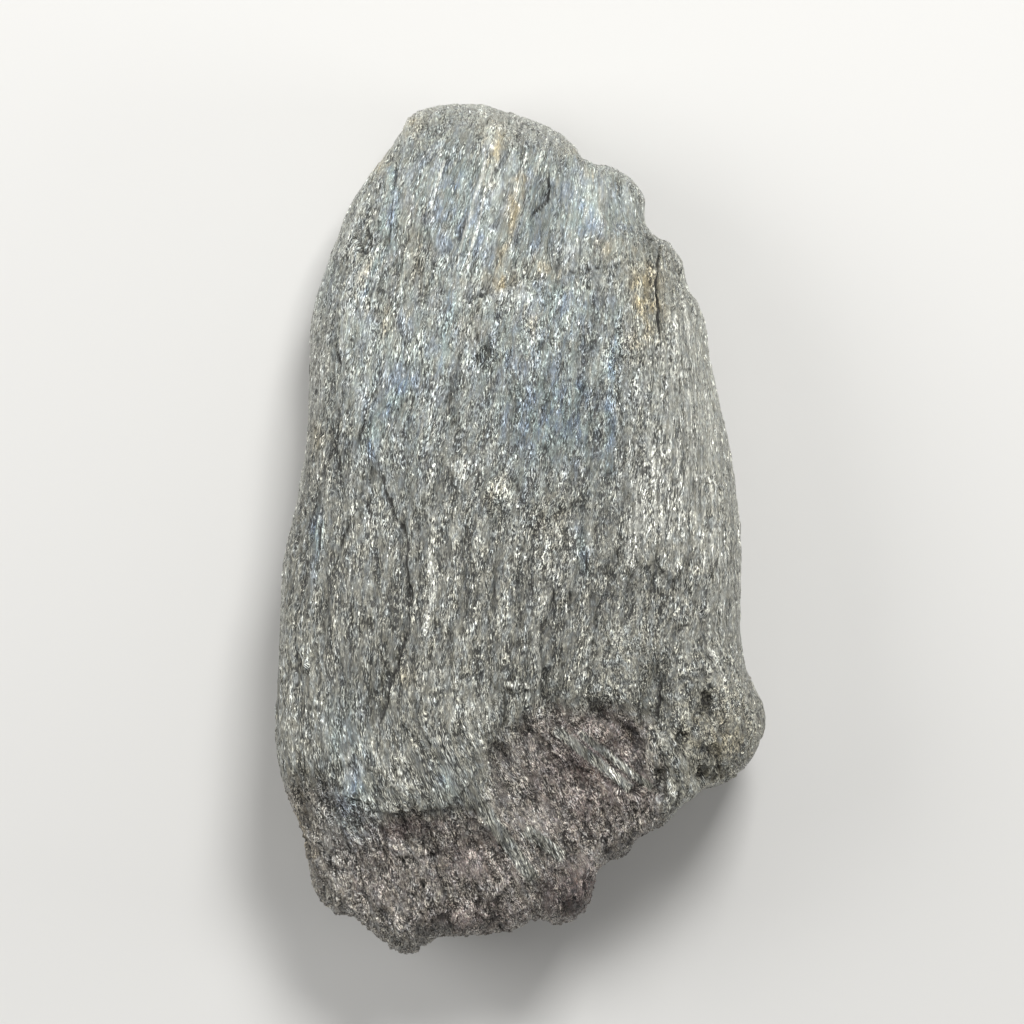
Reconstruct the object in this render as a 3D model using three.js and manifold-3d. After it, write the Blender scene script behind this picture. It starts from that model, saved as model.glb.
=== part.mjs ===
// A hand-sized alabandite specimen: a fibrous slab, rounded at its upper end and broken off
// obliquely at its lower end. It lies on its flat back with its fibrous face up.
// Millimetres. +Y runs along the fibres to the rounded end, +Z points up out of the fibrous face.

import * as THREE from 'three';
import { mergeVertices } from 'three/addons/utils/BufferGeometryUtils.js';
import Module from 'manifold-3d';

// Driving dimensions
const FACE_HEIGHTS = [11.5, 14, 16, 17.5, 18.6, 19.4, 19.2, 18]; // crest of the face, from the upper end
const CROWN_DROP = 2.6; // how far the face falls from its crest line to its long edges
const CREST_SHARE = 0.46; // where the crest line lies across the width, from the left
const WIDEST_SHARE = 0.42; // height of the widest ring, as a share of the crest
const WIDEST_SWING = 0.16; // how far that ring wanders up and down, as a share of the crest
const WIDEST_PITCH = 0.07; // length of its waves, as a share of the way round
const LEFT_ROUND = 4; // reach of the rounded shoulder in from each edge
const LOWER_LEFT_ROUND = 2.2;
const LOWER_LEFT_FROM = 0.7; // share of the length where the left shoulder starts to tighten
const LOWER_LEFT_TO = 0.85;
const RIGHT_ROUND = 5;
const TOP_ROUND = 5;
const BROKEN_ROUND = 2.4;
const BACK_INSET = 0.36; // how far the underside draws in, as a share of the half width and half length
const BACK_CUT = 1.2; // thickness lost from the underside to the flat resting face
const SIDE_ROUGHNESS = 0.07; // uneven draw of the sides, as a share of the half width
const SIDE_PITCH = 0.05; // length of its waves, as a share of the way round
const SIDE_LAYERS = 3; // waves from the widest ring down to the underside
const BREAK_ROUGHNESS = 0.035; // added unevenness of the broken end
const BREAK_PITCH = 0.022;
const BREAK_LAYERS = 5;
const BREAK_FROM = 0.8; // share of the length where that unevenness starts

const FIBRE_SPAN = 34; // the sheaf of fibres, across it and along it, before it narrows upwards
const FIBRE_LENGTH = 58;
const RIDGE_HEIGHT = 0.55; // splinter ridges along the fibres
const RIDGE_PITCH = 1.6;
const RIDGE_LENGTH = 9;
const SPLINTER_HEIGHT = 0.22; // finer splinters on the ridges
const SPLINTER_PITCH = 0.8;
const SPLINTER_LENGTH = 4.5;
const SWELL_HEIGHT = 0.5; // broad, long undulation of the face
const SWELL_PITCH = 6.5;
const SWELL_LENGTH = 17;
const FRACTURE_DEPTH = 1.5; // step down from the fibrous face to the broken ground below it
const FRACTURE_RUN = 1.3;
const FRACTURE_FALL = 0.13; // further fall of the broken ground, for each millimetre towards the break
const GRAIN_HEIGHT = 0.8; // lumpiness of the broken ground and of the knob beside it
const GRAIN_SIZE = 1.7;
const LEDGE_RUN = 0.65; // half the width over which a ledge steps up

// Facets: across the fibres, along them, and down the sides
const ACROSS = 58;
const ALONG = 60;
const DOWN = 5;
const EDGE_CROWDING = 0.42; // closer facets near the edges, where the shoulders turn

// Outline seen from above the face, as four edges of [x, y] points
const LEFT_EDGE = [
  [-8.8, 30.1], [-9.9, 28.3], [-11.3, 26.5], [-12.9, 24.2], [-14, 21.5], [-15, 18.8], [-15.8, 15.4],
  [-15.9, 11], [-16.2, 5.7], [-16.8, 2], [-17.8, -2.6], [-18, -8.6], [-18.3, -14.6], [-18.1, -17.8],
  [-17.2, -20.6], [-16.2, -23.6], [-15.6, -26.6], [-14.8, -28.2],
];
const TOP_EDGE = [
  [-8.8, 30.1], [-8.5, 30.8], [-7.5, 31.4], [-6.4, 31.7], [-2.7, 32], [-1.6, 31.7], [1.8, 30.5],
  [2.9, 29.9], [4.1, 29], [4.4, 28.6],
];
const RIGHT_EDGE = [
  [4.4, 28.6], [4.6, 27.8], [5.9, 27.1], [6.8, 26.5], [7.6, 26.7], [8.9, 25.6], [9.5, 24.6], [9.5, 22.9],
  [10.3, 21.7], [11.2, 21.4], [12.4, 19.8], [12.7, 17.8], [13.6, 16.7], [14.1, 15], [14.5, 12.1],
  [15.5, 7.9], [16.3, 3.4], [16.6, -2.6], [16.6, -8.6], [17.5, -11.8], [18.2, -13.2], [18.4, -14.9],
  [17.9, -16.6], [17.1, -17.8],
];
const BROKEN_EDGE = [
  [-14.8, -28.2], [-13.9, -28.9], [-12.6, -29.2], [-11.4, -29.9], [-9.3, -31.8], [-8.3, -32], [-7.1, -31.6],
  [-6.1, -30.8], [-3.3, -30.7], [0.1, -30.1], [0.7, -29.5], [1.8, -29.9], [3.6, -29.8], [5, -28.7],
  [5.4, -27.4], [5.5, -26.4], [6.1, -25.4], [8, -24.4], [8.3, -23.7], [10.8, -22.3], [11.4, -21.4],
  [12.7, -20.5], [13.4, -19.8], [14.6, -19.6], [16.1, -18.7], [17.1, -17.8],
];

// How closely the notches of the two ends stay to those ends
const END_HOLD = 3;

// Broken ground at the lower end: the fibrous face stops at a ragged scarp along its first ten points
const FRACTURE = [
  [-19, -19], [-14, -18.6], [-12.2, -19.6], [-10.8, -21.2], [-6.4, -21], [-2.9, -19.8], [-2.2, -16.4],
  [1.2, -12.9], [6.7, -13.4], [9.4, -14.2], [10.2, -19.8], [11.4, -21.8], [11.4, -36], [-19, -36],
];

// Long crack down the left of the face, from its upper end
const LEFT_CRACK = [[-10.6, 4.2], [-9.4, 1.6], [-8.4, -1], [-8.2, -7], [-9, -10], [-10.2, -14.5]];

// Ledges: the ground to the right of a path, walked from its first point, stands higher and
// falls back to the face over the reach
const LEDGES = [
  { path: [[-3.4, 17], [-1.2, 17.6], [1.4, 17.7], [5.9, 18.8], [7.8, 19.4]], height: 0.9, reach: 9 },
  { path: LEFT_CRACK.toReversed(), height: 0.6, reach: 6 },
  { path: [[6.8, -3], [6.9, 3], [6.7, 8.7]], height: 0.5, reach: 5 },
  { path: [[9.2, 13.6], [9.6, 17], [10.2, 20.4]], height: 0.4, reach: 4 },
  { path: [[1.2, -7.6], [1.5, -10.8], [0.9, -11.8], [-1.6, -11.4]], height: 0.5, reach: 3.5 },
];

// Cracks and grooves
const GROOVES = [
  { path: LEFT_CRACK, depth: 0.9, width: 0.75 },
  { path: [[6.9, 8.7], [6.9, -2.6]], depth: 0.7, width: 0.6 },
  { path: [[2, 24.2], [0.3, 21.8]], depth: 0.8, width: 0.55 },
  { path: [[9.6, -10.6], [9.4, -14.2]], depth: 1.8, width: 0.6 },
  { path: [[9.8, 20.4], [9.6, 17], [9.9, 14]], depth: 0.6, width: 0.6 },
  { path: [[-8.2, 12.8], [-12, 5]], depth: 0.35, width: 0.7 },
  { path: [[-13.3, 13.4], [-13.4, 11.2]], depth: 0.6, width: 0.6 },
  { path: [[-9.2, 22], [-10.2, 17.8]], depth: 0.45, width: 0.6 },
];

// Pale blades that lie across the broken ground
const BLADES = [
  { path: [[2.5, -14.9], [7.8, -19.1]], height: 0.9, width: 0.8 },
  { path: [[-2.6, -20.6], [0.8, -25.4]], height: 0.9, width: 0.75 },
  { path: [[0.7, -22.4], [2.7, -24.4]], height: 0.7, width: 0.7 },
  { path: [[-8, -16.5], [-5.2, -20.4]], height: 0.45, width: 0.9 },
];

// Knob at the broken right corner, as lumpy as the broken ground
const KNOB = { at: [14.4, -14.6], radii: [3.4, 4.4], height: 1.4 };

// Lumps stand out of the face, and pits, with a negative height, go into it
const LUMPS = [
  KNOB,
  { at: [-4.6, 4.1], radii: [0.9, 1.4], height: 0.8 },
  { at: [-1.8, 2.9], radii: [1.1, 1.3], height: 1 },
  { at: [1.2, 1.6], radii: [0.9, 1.2], height: 0.6 },
  { at: [4, -27.4], radii: [1.9, 2.1], height: 1.1 },
  { at: [-8.4, -29.6], radii: [1.8, 2.2], height: 0.8 },
  { at: [9.4, -22.6], radii: [1.7, 1.4], height: 0.9 },
  { at: [-2.6, 12.6], radii: [1, 0.7], height: -0.7 },
  { at: [13.4, -13], radii: [1.2, 0.9], height: -0.9 },
  { at: [10.1, -18.8], radii: [0.8, 1.2], height: -1.1 },
  { at: [13.3, -18.6], radii: [0.8, 0.8], height: -0.8 },
  { at: [5.2, 20], radii: [1.5, 1.1], height: -0.5 },
  { at: [2, 24], radii: [0.9, 0.8], height: -0.6 },
  { at: [-6, -26], radii: [0.8, 1.6], height: -0.6 },
];

// Where each layer of unevenness starts in the noise, so that no two layers match
const SHIFT = { ridges: 0, swell: 40, splinters: 70, grain: 90, widest: 0, sides: 20, breaks: 80, round: 50 };

const { clamp, lerp, smoothstep } = THREE.MathUtils;

function edgeCurve(points) {
  const corners = points.map(([x, y]) => new THREE.Vector3(x, y, 0));
  return new THREE.CatmullRomCurve3(corners, false, 'centripetal');
}

const leftCurve = edgeCurve(LEFT_EDGE);
const topCurve = edgeCurve(TOP_EDGE);
const rightCurve = edgeCurve(RIGHT_EDGE);
const brokenCurve = edgeCurve(BROKEN_EDGE);

// How far an end's curve stands off the straight line between its corners
function standOff(curve, share) {
  const line = new THREE.Vector3().lerpVectors(curve.points[0], curve.points.at(-1), share);
  return curve.getPointAt(share).sub(line);
}

// Place in the outline: across runs from the left edge to the right, along from the top to the break
function placeInOutline(across, along) {
  const left = leftCurve.getPointAt(along);
  const right = rightCurve.getPointAt(along);
  const place = new THREE.Vector3().lerpVectors(left, right, across);
  place.addScaledVector(standOff(topCurve, across), (1 - along) ** END_HOLD);
  place.addScaledVector(standOff(brokenCurve, across), along ** END_HOLD);
  const length = topCurve.getPointAt(across).distanceTo(brokenCurve.getPointAt(across));
  return { x: place.x, y: place.y, width: left.distanceTo(right), length };
}

// Repeatable noise between -1 and 1
function latticeValue(column, row) {
  const wave = Math.sin(column * 127.1 + row * 311.7) * 43758.5453;
  return 2 * (wave - Math.floor(wave)) - 1;
}

function noise(a, b) {
  const column = Math.floor(a);
  const row = Math.floor(b);
  const right = smoothstep(a - column, 0, 1);
  const up = smoothstep(b - row, 0, 1);
  const low = lerp(latticeValue(column, row), latticeValue(column + 1, row), right);
  const high = lerp(latticeValue(column, row + 1), latticeValue(column + 1, row + 1), right);
  return lerp(low, high, up);
}

// Distance from a path, positive on its right hand, and how far a place lies past the path's ends
function offsetFromPath(path, x, y) {
  let nearest = Infinity;
  let side = 1;
  let past = 0;
  for (let index = 1; index < path.length; index += 1) {
    const [ax, ay] = path[index - 1];
    const [bx, by] = path[index];
    const [dx, dy] = [bx - ax, by - ay];
    const walked = ((x - ax) * dx + (y - ay) * dy) / (dx * dx + dy * dy);
    const share = clamp(walked, 0, 1);
    const distance = Math.hypot(x - ax - share * dx, y - ay - share * dy);
    if (distance < nearest) {
      const atEnd = walked < 0 ? index === 1 : index === path.length - 1;
      nearest = distance;
      side = dx * (y - ay) - dy * (x - ax) < 0 ? 1 : -1;
      past = atEnd ? Math.abs(walked - share) * Math.hypot(dx, dy) : 0;
    }
  }
  return { offset: side * nearest, past };
}

function isInside(outline, x, y) {
  let inside = false;
  outline.forEach(([ax, ay], index) => {
    const [bx, by] = outline[(index + 1) % outline.length];
    if (ay > y !== by > y && x < ax + ((y - ay) / (by - ay)) * (bx - ax)) {
      inside = !inside;
    }
  });
  return inside;
}

const bell = (ratio) => Math.exp(-ratio * ratio);

function ledgeHeight({ path, height, reach }, x, y) {
  const { offset, past } = offsetFromPath(path, x, y);
  return height * smoothstep(offset, -LEDGE_RUN, LEDGE_RUN) * bell(offset / reach) * bell(past / LEDGE_RUN);
}

function lumpShare({ at, radii }, x, y) {
  return bell(Math.hypot((x - at[0]) / radii[0], (y - at[1]) / radii[1]));
}

const stripShare = ({ path, width }, x, y) => bell(offsetFromPath(path, x, y).offset / width);

// How much of a place belongs to the broken ground, and how far the ground has fallen there
function fractureAt(x, y) {
  const offset = Math.abs(offsetFromPath([...FRACTURE, FRACTURE[0]], x, y).offset);
  const depth = isInside(FRACTURE, x, y) ? offset : -offset;
  const share = smoothstep(depth, -FRACTURE_RUN / 2, FRACTURE_RUN / 2);
  const fall = FRACTURE_DEPTH + FRACTURE_FALL * Math.max(depth, 0);
  return { share, fall };
}

function relief(x, y, acrossLength, alongLength) {
  const fibrous = (shift, pitch, length) => noise(acrossLength / pitch + shift, alongLength / length);
  const { share, fall } = fractureAt(x, y);
  const swell = SWELL_HEIGHT * fibrous(SHIFT.swell, SWELL_PITCH, SWELL_LENGTH);
  const ridges = RIDGE_HEIGHT * fibrous(SHIFT.ridges, RIDGE_PITCH, RIDGE_LENGTH);
  const splinters = SPLINTER_HEIGHT * fibrous(SHIFT.splinters, SPLINTER_PITCH, SPLINTER_LENGTH);
  const grain = GRAIN_HEIGHT * noise(x / GRAIN_SIZE + SHIFT.grain, y / GRAIN_SIZE);
  const lumpiness = Math.max(share, lumpShare(KNOB, x, y));
  let height = swell + lerp(ridges + splinters, grain, lumpiness) - fall * share;
  LEDGES.forEach((ledge) => {
    height += ledgeHeight(ledge, x, y) * (1 - share);
  });
  GROOVES.forEach((groove) => {
    height -= groove.depth * stripShare(groove, x, y);
  });
  BLADES.forEach((blade) => {
    height += blade.height * stripShare(blade, x, y);
  });
  LUMPS.forEach((lump) => {
    height += lump.height * lumpShare(lump, x, y);
  });
  return height;
}

// Rise of a round shoulder, 0 at the edge and 1 from the shoulder's reach inwards
function shoulder(distance, reach) {
  const left = 1 - Math.min(distance / reach, 1);
  return Math.sqrt(1 - left * left);
}

const crestCurve = new THREE.CatmullRomCurve3(
  FACE_HEIGHTS.map((height, index) => new THREE.Vector3(index, height, 0)),
);
const crestAt = (along) => crestCurve.getPoint(along).y;

// Noise that closes on itself round the outline, with waves of a pitch given as a share of the way round
function noiseRound(across, along, pitch, shift) {
  const angle = Math.atan2(across - 0.5, along - 0.5);
  const radius = 1 / (2 * Math.PI * pitch);
  return noise(radius * Math.cos(angle) + shift, radius * Math.sin(angle) + SHIFT.round);
}

function widestAt(across, along) {
  const swing = WIDEST_SWING * noiseRound(across, along, WIDEST_PITCH, SHIFT.widest);
  return (WIDEST_SHARE + swing) * crestAt(along);
}

function facePoint(across, along) {
  const { x, y, width, length } = placeInOutline(across, along);
  const crest = crestAt(along);
  const widest = widestAt(across, along);
  const leftRound = lerp(LEFT_ROUND, LOWER_LEFT_ROUND, smoothstep(along, LOWER_LEFT_FROM, LOWER_LEFT_TO));
  const rise =
    shoulder(across * width, leftRound) *
    shoulder((1 - across) * width, RIGHT_ROUND) *
    shoulder(along * length, TOP_ROUND) *
    shoulder((1 - along) * length, BROKEN_ROUND);
  const sideways = (across - CREST_SHARE) / (across < CREST_SHARE ? CREST_SHARE : 1 - CREST_SHARE);
  const crown = crest - CROWN_DROP * sideways * sideways;
  const face = crown + relief(x, y, across * FIBRE_SPAN, along * FIBRE_LENGTH);
  return new THREE.Vector3(x, y, widest + (face - widest) * rise);
}

// Side and underside: the ring drawn in and down from the widest ring by a quarter turn
function sidePoint(across, along, turn) {
  const waves = SIDE_ROUGHNESS * noiseRound(across, along, SIDE_PITCH, SHIFT.sides + SIDE_LAYERS * turn);
  const breaks = BREAK_ROUGHNESS * noiseRound(across, along, BREAK_PITCH, SHIFT.breaks + BREAK_LAYERS * turn);
  const uneven = (waves + breaks * smoothstep(along, BREAK_FROM, 1)) * Math.sin(Math.PI * turn);
  const inset = Math.max(BACK_INSET * (1 - Math.cos((turn * Math.PI) / 2)) + uneven, 0);
  const drawn = (share) => 0.5 + (share - 0.5) * (1 - inset);
  const { x, y } = placeInOutline(drawn(across), drawn(along));
  const widest = widestAt(across, along);
  return new THREE.Vector3(x, y, widest - (widest + BACK_CUT) * Math.sin((turn * Math.PI) / 2));
}

const crowded = (share) => share - (EDGE_CROWDING * Math.sin(2 * Math.PI * share)) / (2 * Math.PI);

function slabGeometry() {
  const geometry = new THREE.BoxGeometry(1, 1, 1, ACROSS, ALONG, DOWN);
  geometry.deleteAttribute('normal');
  geometry.deleteAttribute('uv');
  const position = geometry.attributes.position;
  for (let index = 0; index < position.count; index += 1) {
    const across = crowded(position.getX(index) + 0.5);
    const along = crowded(0.5 - position.getY(index));
    const turn = 0.5 - position.getZ(index);
    const point = turn < 1e-6 ? facePoint(across, along) : sidePoint(across, along, turn);
    position.setXYZ(index, point.x, point.y, point.z);
  }
  return mergeVertices(geometry);
}

const wasm = await Module();
wasm.setup();

function toSolid(geometry) {
  const vertProperties = new Float32Array(geometry.attributes.position.array);
  const triVerts = new Uint32Array(geometry.index.array);
  return new wasm.Manifold(new wasm.Mesh({ numProp: 3, vertProperties, triVerts }));
}

function toGeometry(solid) {
  const { vertProperties, triVerts } = solid.getMesh();
  const geometry = new THREE.BufferGeometry();
  geometry.setAttribute('position', new THREE.BufferAttribute(vertProperties, 3));
  geometry.setIndex(new THREE.BufferAttribute(triVerts, 1));
  return geometry;
}

// Everything below the resting plane
function belowRest() {
  const size = 100;
  const block = new THREE.BoxGeometry(size, size, size);
  block.deleteAttribute('normal');
  block.deleteAttribute('uv');
  block.translate(0, 0, -size / 2);
  return mergeVertices(block);
}

function specimenGeometry() {
  const geometry = toGeometry(toSolid(slabGeometry()).subtract(toSolid(belowRest())));
  geometry.computeBoundingBox();
  const middle = geometry.boundingBox.getCenter(new THREE.Vector3());
  geometry.translate(-middle.x, -middle.y, 0);
  return geometry;
}

const metallicGrey = new THREE.MeshStandardMaterial({ color: '#7c7f7a', roughness: 0.55, metalness: 0.25 });
const specimen = new THREE.Mesh(specimenGeometry(), metallicGrey);
specimen.name = 'specimen';

const part = new THREE.Group();
part.add(specimen);

export default part;
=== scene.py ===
import math

import bpy
import numpy as np
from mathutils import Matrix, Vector
from mathutils.bvhtree import BVHTree


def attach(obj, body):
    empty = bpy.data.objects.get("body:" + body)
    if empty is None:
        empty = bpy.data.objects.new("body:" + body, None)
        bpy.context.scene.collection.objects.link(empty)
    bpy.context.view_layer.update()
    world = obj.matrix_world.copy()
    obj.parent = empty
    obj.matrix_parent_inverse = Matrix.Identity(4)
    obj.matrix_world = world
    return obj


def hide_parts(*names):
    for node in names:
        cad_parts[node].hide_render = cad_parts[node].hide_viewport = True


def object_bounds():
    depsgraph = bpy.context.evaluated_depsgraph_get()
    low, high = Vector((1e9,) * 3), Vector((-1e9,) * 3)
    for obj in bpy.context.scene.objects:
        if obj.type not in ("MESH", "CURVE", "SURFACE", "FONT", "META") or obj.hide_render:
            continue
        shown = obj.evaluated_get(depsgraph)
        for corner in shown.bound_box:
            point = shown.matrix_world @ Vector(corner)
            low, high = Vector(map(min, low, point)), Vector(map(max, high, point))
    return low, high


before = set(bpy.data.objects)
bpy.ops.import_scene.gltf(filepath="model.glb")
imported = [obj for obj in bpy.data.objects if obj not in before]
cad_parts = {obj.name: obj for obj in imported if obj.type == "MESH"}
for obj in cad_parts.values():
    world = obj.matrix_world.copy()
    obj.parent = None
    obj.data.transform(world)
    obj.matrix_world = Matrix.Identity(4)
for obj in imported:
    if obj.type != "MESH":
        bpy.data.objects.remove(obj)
cad_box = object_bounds()

# Looks of a fibrous alabandite specimen that lies on its flat back.
# Lengths are millimetres in the part's frame: +Y runs along the fibres to the rounded end, and +Z points out
# of the fibrous face. Meshes are written in metres. A place on the surface also has fibre coordinates: across
# the fibres to the right, and along them away from the rounded end. They run on down the sides.
MM = 0.001

# Corners of the outline, where its four edges meet
TOP_LEFT = (-8.8, 30.1)
TOP_RIGHT = (11.5, 20.9)
LOW_RIGHT = (17.1, -17.8)
LOW_LEFT = (-14.8, -28.2)
END_HOLD = 3  # how closely the notches of the two ends stay to those ends

# Cells of the body's mesh
COLUMNS = 300
UPPER_ROWS = 138
LOWER_ROWS = 92
ROWS = UPPER_ROWS + LOWER_ROWS
LOWER_FROM = 0.66  # share of the length where the closer rows of the broken end start
EDGE_CROWDING = 0.3
SIDE_RINGS = 16
BACK_RINGS = 10
RIM_CELLS = 24  # cells next to the face's boundary, which can be as steep as walls
BACK_STEP = 4  # vertices of the rim for each vertex of the underside

# Reading the solid
RING_POINTS = 2400  # points of the outline
CLEAR = 80.0  # distance from which rays start, outside the solid
NEAR_REST = 0.03  # lowest height at which the sides are read
FACE_INSET = 0.998  # places at the outline are drawn in by this much, so that rays meet the solid
NOTCH_STEP = 0.04  # how far apart the grid's lines stay where they pass a notch of the outline
NOTCH_STEPS = 12  # how many lines from the outline inwards that holds for
RING_SMOOTH = 3  # reach of the bell that evens the outline, in its points
OUTLINE_GRAIN = 0.01  # how closely the outline is found
TINY = 1e-9  # keeps divisions away from zero
FACE_SMOOTH = (4.0, 1.5)  # reach of the bells that take the facets off, in columns and rows
SIDE_SMOOTH = (3.0, 0.8)  # and in vertices of a ring and rings

# Outline of the broken ground at the lower end, and middle and reach of the knob beside it
FRACTURE = [
    (-19, -19), (-14, -18.6), (-12.2, -19.6), (-10.8, -21.2), (-6.4, -21), (-2.9, -19.8), (-2.2, -16.4),
    (1.2, -12.9), (6.7, -13.4), (9.4, -14.2), (10.2, -19.8), (11.4, -21.8), (11.4, -36), (-19, -36),
]
KNOB = (14.6, -15.6, 3.4, 4.0)

# Cracks: path, depth and half width
LEFT_CRACK = [(-10.6, 4.4), (-9.75, 2.1), (-8.4, -1.05), (-8.25, -7), (-9.2, -10), (-10.6, -15)]
CRACKS = [
    (LEFT_CRACK, 0.3, 0.1),
    ([(-7.3, -0.1), (-8.4, -0.9)], 0.2, 0.08),
    ([(-10.7, 2.9), (-11.2, 1.4), (-10.9, 0.7), (-10.3, -0.3)], 0.3, 0.1),
    ([(-12.5, 0.5), (-13.4, -2.1)], 0.25, 0.09),
    ([(-11.2, 8.5), (-12.2, 5.3)], 0.2, 0.08),
    ([(-8.3, 10.7), (-9.2, 7.7)], 0.2, 0.08),
    ([(-5.2, 11.6), (-5.3, 8)], 0.2, 0.07),
    ([(-13.4, 6.5), (-14.2, 4.7)], 0.3, 0.14),
    ([(-13.2, 5.6), (-13.7, 3.4)], 0.25, 0.1),
    ([(-14.7, 0.8), (-14.9, -2.9)], 0.25, 0.09),
    ([(-3.3, 4.7), (-3.2, 3.6), (-3.4, 2.6)], 0.25, 0.1),
    ([(-0.4, 3.9), (-0.2, 2.6), (0.2, 1.8)], 0.25, 0.1),
    ([(-1.9, 1.9), (-0.6, 1.6)], 0.2, 0.09),
    ([(-9.2, 27.8), (-9.5, 26), (-9.7, 20.7)], 0.25, 0.08),
    ([(-11.8, 23.2), (-11.1, 20.2)], 0.25, 0.1),
    ([(-12.2, 21.6), (-11.9, 19.4)], 0.2, 0.08),
    ([(-10.6, 18.4), (-11.4, 16)], 0.2, 0.08),
    ([(-13.3, 13.4), (-13.5, 12.4), (-13.4, 11.2)], 0.3, 0.12),
    ([(2.1, 26.7), (1.9, 24.1), (0.5, 22.6)], 0.2, 0.09),
    ([(3.5, 20.9), (3.7, 19)], 0.12, 0.06),
    ([(4.4, 21.4), (4.6, 19.1)], 0.15, 0.07),
    ([(5.2, 20.6), (5.1, 19.2)], 0.12, 0.06),
    ([(6.9, 19.3), (5.4, 19), (4.4, 18.85), (3.1, 18.6)], 0.2, 0.09),
    ([(10.35, 20.8), (9.95, 17.4), (10.3, 13.6)], 0.25, 0.1),
    ([(7.5, 15), (7.1, 13.4)], 0.3, 0.14),
    ([(1.1, 14.6), (0.5, 13.6)], 0.25, 0.1),
    ([(3.5, 10.4), (4, 10.2), (4.4, 9.7)], 0.25, 0.09),
    ([(6.1, 9.8), (6.8, 9.6), (7.4, 8.8)], 0.25, 0.09),
    ([(7.2, 10.6), (7, 8.2)], 0.1, 0.06),
    ([(3.9, -6.4), (2.8, -7.5)], 0.25, 0.09),
    ([(3.5, -3.9), (3.4, -6)], 0.2, 0.08),
    ([(2.4, -3.6), (2.4, -6.4)], 0.2, 0.08),
    ([(-1.8, -3), (-2, -6.2)], 0.2, 0.08),
    ([(4.8, -1.2), (4.6, -4)], 0.2, 0.08),
    ([(11, -8), (12.7, -6.8)], 0.2, 0.09),
    ([(10, -11), (9.9, -13), (9.6, -14.6)], 0.4, 0.16),
    ([(8.5, -21.4), (9.4, -20.2)], 0.4, 0.16),
    ([(11.6, -16), (12, -17.2)], 0.35, 0.14),
    ([(13.2, -12.3), (14.6, -13.4)], 0.3, 0.12),
    ([(14.3, -17.6), (14.7, -18.8)], 0.35, 0.14),
    ([(-7.2, -25.4), (-7.2, -27.4)], 0.3, 0.12),
    ([(-8.1, 30.9), (-8.2, 29.6)], 0.3, 0.1),
]

# Ledges: the ground to the right of a path, walked from its first point, stands higher. Path and height.
LEDGES = [
    ([(-4, 16.6), (-3, 17.2), (-1.2, 17.7), (1.6, 17.8)], 0.6),
    ([(7.6, 19.8), (6.9, 19.3), (4.4, 18.9), (2.4, 18.7)], 0.45),
    (LEFT_CRACK[::-1], 0.45),
    ([(6.8, -3), (6.9, 3), (6.7, 8.7)], 0.3),
    ([(1.1, -7.6), (1.5, -10.8), (0.9, -11.8), (-1.6, -11.4)], 0.45),
    ([(-0.6, -6.4), (-0.2, -8), (0.1, -6.6)], 0.25),
    ([(-9.6, 26.6), (-9.7, 20.4), (-10.6, 17)], 0.35),
    ([(-11, 0.6), (-12.3, 0.7)], 0.35),
    ([(10, 20), (9.9, 17), (10.2, 13.4)], 0.35),
    ([(-4, -18.6), (-5.4, -20.4), (-8.4, -21), (-11, -20.6), (-12.8, -19.2)], 0.5),
]
LEDGE_RUN = 0.65  # half the width over which the solid's ledges rise
SHARP_RUN = 0.14  # and the body's

# Straight blades that lie across the broken ground: path and half width
BLADES = [
    ([(2.6, -14.9), (7.9, -19.1)], 0.36),
    ([(4.4, -15.2), (9.4, -19)], 0.26),
    ([(-3, -20.2), (0.8, -25.8)], 0.5),
    ([(0.4, -22.2), (3, -24.2)], 0.45),
    ([(-6.3, -15), (-3.4, -20.4)], 0.6),
    ([(-8, -16.4), (-5.4, -20.4)], 0.5),
]
BLADE_HEIGHT = 0.12

# Lumps and pits: middle, reach and height
LUMPS = [
    (-4.4, 4, 0.8, 1.1, 0.28),
    (-1.7, 2.9, 0.9, 1.0, 0.32),
    (1.2, 1.6, 0.6, 1.1, 0.15),
    (-2.4, 16.4, 0.9, 0.8, 0.2),
    (-0.6, 16.9, 0.8, 0.6, 0.2),
    (0.8, 16.8, 0.7, 0.7, 0.18),
    (-12.4, -18.6, 1, 0.9, 0.35),
    (-8.6, -19.4, 1.1, 0.9, 0.35),
    (-2.6, 12.4, 1.1, 0.5, -0.3),
    (4.7, 12.5, 0.8, 0.8, -0.1),
    (13.4, -13, 0.9, 0.7, -0.4),
    (15.2, -14.8, 0.5, 0.5, -0.25),
    (11.6, -15.6, 0.5, 0.9, -0.3),
    (10.1, -18.8, 0.5, 1.2, -0.45),
    (13.6, -18.2, 0.6, 0.6, -0.35),
]

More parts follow.
